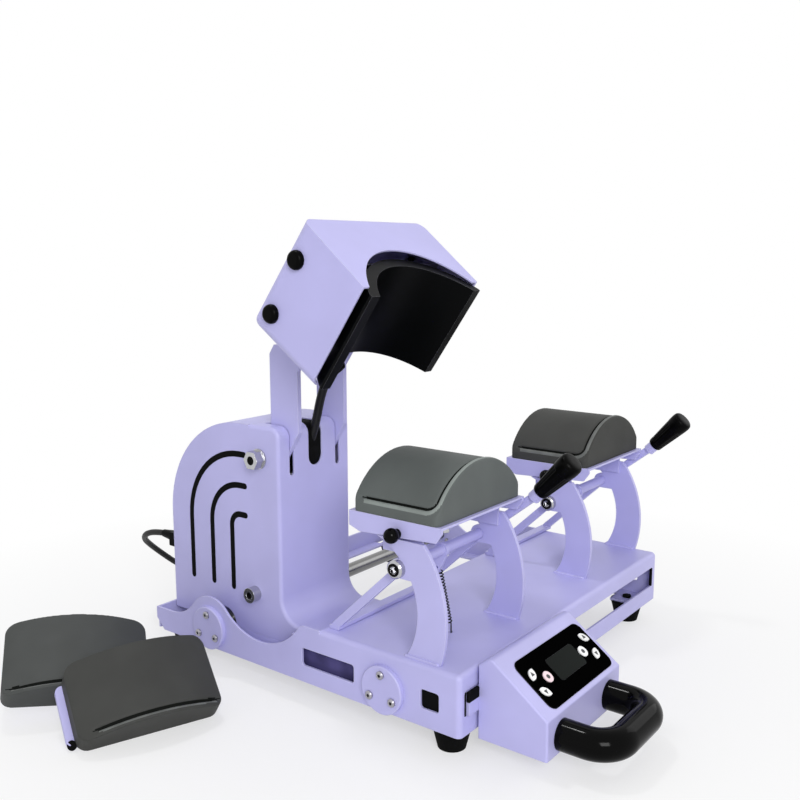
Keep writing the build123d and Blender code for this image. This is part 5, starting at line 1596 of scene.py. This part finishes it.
@dataclass(frozen=True)
class Lamp:
    """A soft rectangular lamp."""

    name: str
    place: Number3
    target: Number3
    size: float
    watts: float

    def build(self) -> None:
        """Hang the lamp and aim it."""
        data = bpy.data.lights.new(self.name, "AREA")
        data.shape = "SQUARE"
        data.size = self.size
        data.energy = self.watts
        lamp = bpy.data.objects.new(self.name, data)
        bpy.context.scene.collection.objects.link(lamp)
        lamp.location = self.place
        way = Vector(self.target) - Vector(self.place)
        lamp.rotation_euler = way.to_track_quat("-Z", "Y").to_euler()


@dataclass
class Studio:
    """Pale floor, white surroundings and soft lamps."""

    ambient: float = 0.58
    floor_size: float = 12.0
    floor_colour: Colour = (0.86, 0.86, 0.87)
    floor_middle: Number3 = (0.1, 0.15, -0.0005)
    shadow_middle: Number3 = (0.1, 0.12, 0.0)
    shadow_fade: tuple[float, float] = (0.25, 0.75)
    shadow_share: tuple[float, float] = (0.55, 1.0)
    lamps: tuple[Lamp, ...] = (
        Lamp("key", (-1.2, -1.35, 1.15), (0.15, 0.15, 0.15), 0.75, 24.0),
        Lamp("top", (0.0, 0.65, 2.0), (0.1, 0.0, 0.1), 0.18, 6.0),
        Lamp("rim", (1.8, -0.6, 1.1), (0.2, 0.2, 0.2), 1.0, 4.0),
    )

    def build(self) -> None:
        """Build the studio."""
        bpy.context.scene.view_settings.view_transform = "Standard"
        self.surroundings()
        self.floor()
        for lamp in self.lamps:
            lamp.build()

    def surroundings(self) -> None:
        """Light from all round, seen as white by the camera and in reflections."""
        world = bpy.data.worlds.new("studio")
        bpy.context.scene.world = world
        nodes = Nodes(world)
        mix = nodes.add("ShaderNodeMixShader")
        nodes.link(nodes.shown_rays(), 0, mix, 0)
        for socket, strength in ((1, self.ambient), (2, 1.0)):
            light = nodes.add("ShaderNodeBackground", Color=(1, 1, 1, 1), Strength=strength)
            nodes.link(light, 0, mix, socket)
        nodes.link(mix, 0, nodes.output, "Surface")

    def floor(self) -> None:
        """Lay the floor: it keeps soft shadows near the press and fades to white round it."""
        Bench.clear()
        bpy.ops.mesh.primitive_plane_add(size=self.floor_size, location=self.floor_middle)
        floor = Bench.named("studio_floor")
        made = bpy.data.materials.new("floor_paper")
        floor.data.materials.append(made)
        nodes = Nodes(made)
        nodes.set(nodes.shader, Base_Color=(*self.floor_colour, 1), Roughness=0.8, Specular_IOR_Level=0.1)
        centre = nodes.add("ShaderNodeMapping", Location=tuple(-value for value in self.shadow_middle))
        nodes.link(nodes.place, "Object", centre, "Vector")
        distance = nodes.add("ShaderNodeVectorMath", operation="LENGTH")
        nodes.link(centre, "Vector", distance, "Vector")
        fade = nodes.add("ShaderNodeMapRange", From_Min=self.shadow_fade[0], From_Max=self.shadow_fade[1],
                         To_Min=self.shadow_share[0], To_Max=self.shadow_share[1])
        nodes.link(distance, "Value", fade, "Value")
        share = nodes.add("ShaderNodeMath", operation="MULTIPLY")
        nodes.link(fade, "Result", share, 0)
        nodes.link(nodes.shown_rays(), 0, share, 1)
        mix = nodes.add("ShaderNodeMixShader")
        nodes.link(share, 0, mix, 0)
        nodes.link(nodes.shader, "BSDF", mix, 1)
        nodes.link(nodes.add("ShaderNodeEmission", Strength=1.0), 0, mix, 2)
        nodes.link(mix, 0, nodes.output, "Surface")


def main() -> None:
    """Build the studio, finish the frame and model the new pieces, reporting each class and piece."""
    logging.basicConfig(level=logging.INFO, format="%(name)s: %(message)s")
    Viewpoint().build()
    Studio().build()
    wardrobe = Wardrobe()
    wardrobe.dress_frame()
    stations = [Station(number, middle, wardrobe) for number, middle in enumerate(STATION_MIDDLES, start=1)]
    spares = [SparePlaten(number, wardrobe) for number in (1, 2)]
    fittings = [kind(wardrobe) for kind in (SpareBracket, Tower, Fasteners, Chassis, KeyMarks)]
    for assembly in (MainsLead(wardrobe), HeaterLead(wardrobe), *stations, *spares, *fittings):
        assembly.build()
        LOG.info("%s built", type(assembly).__name__)
    Bench.clear()


if __name__ == "__main__":
    main()
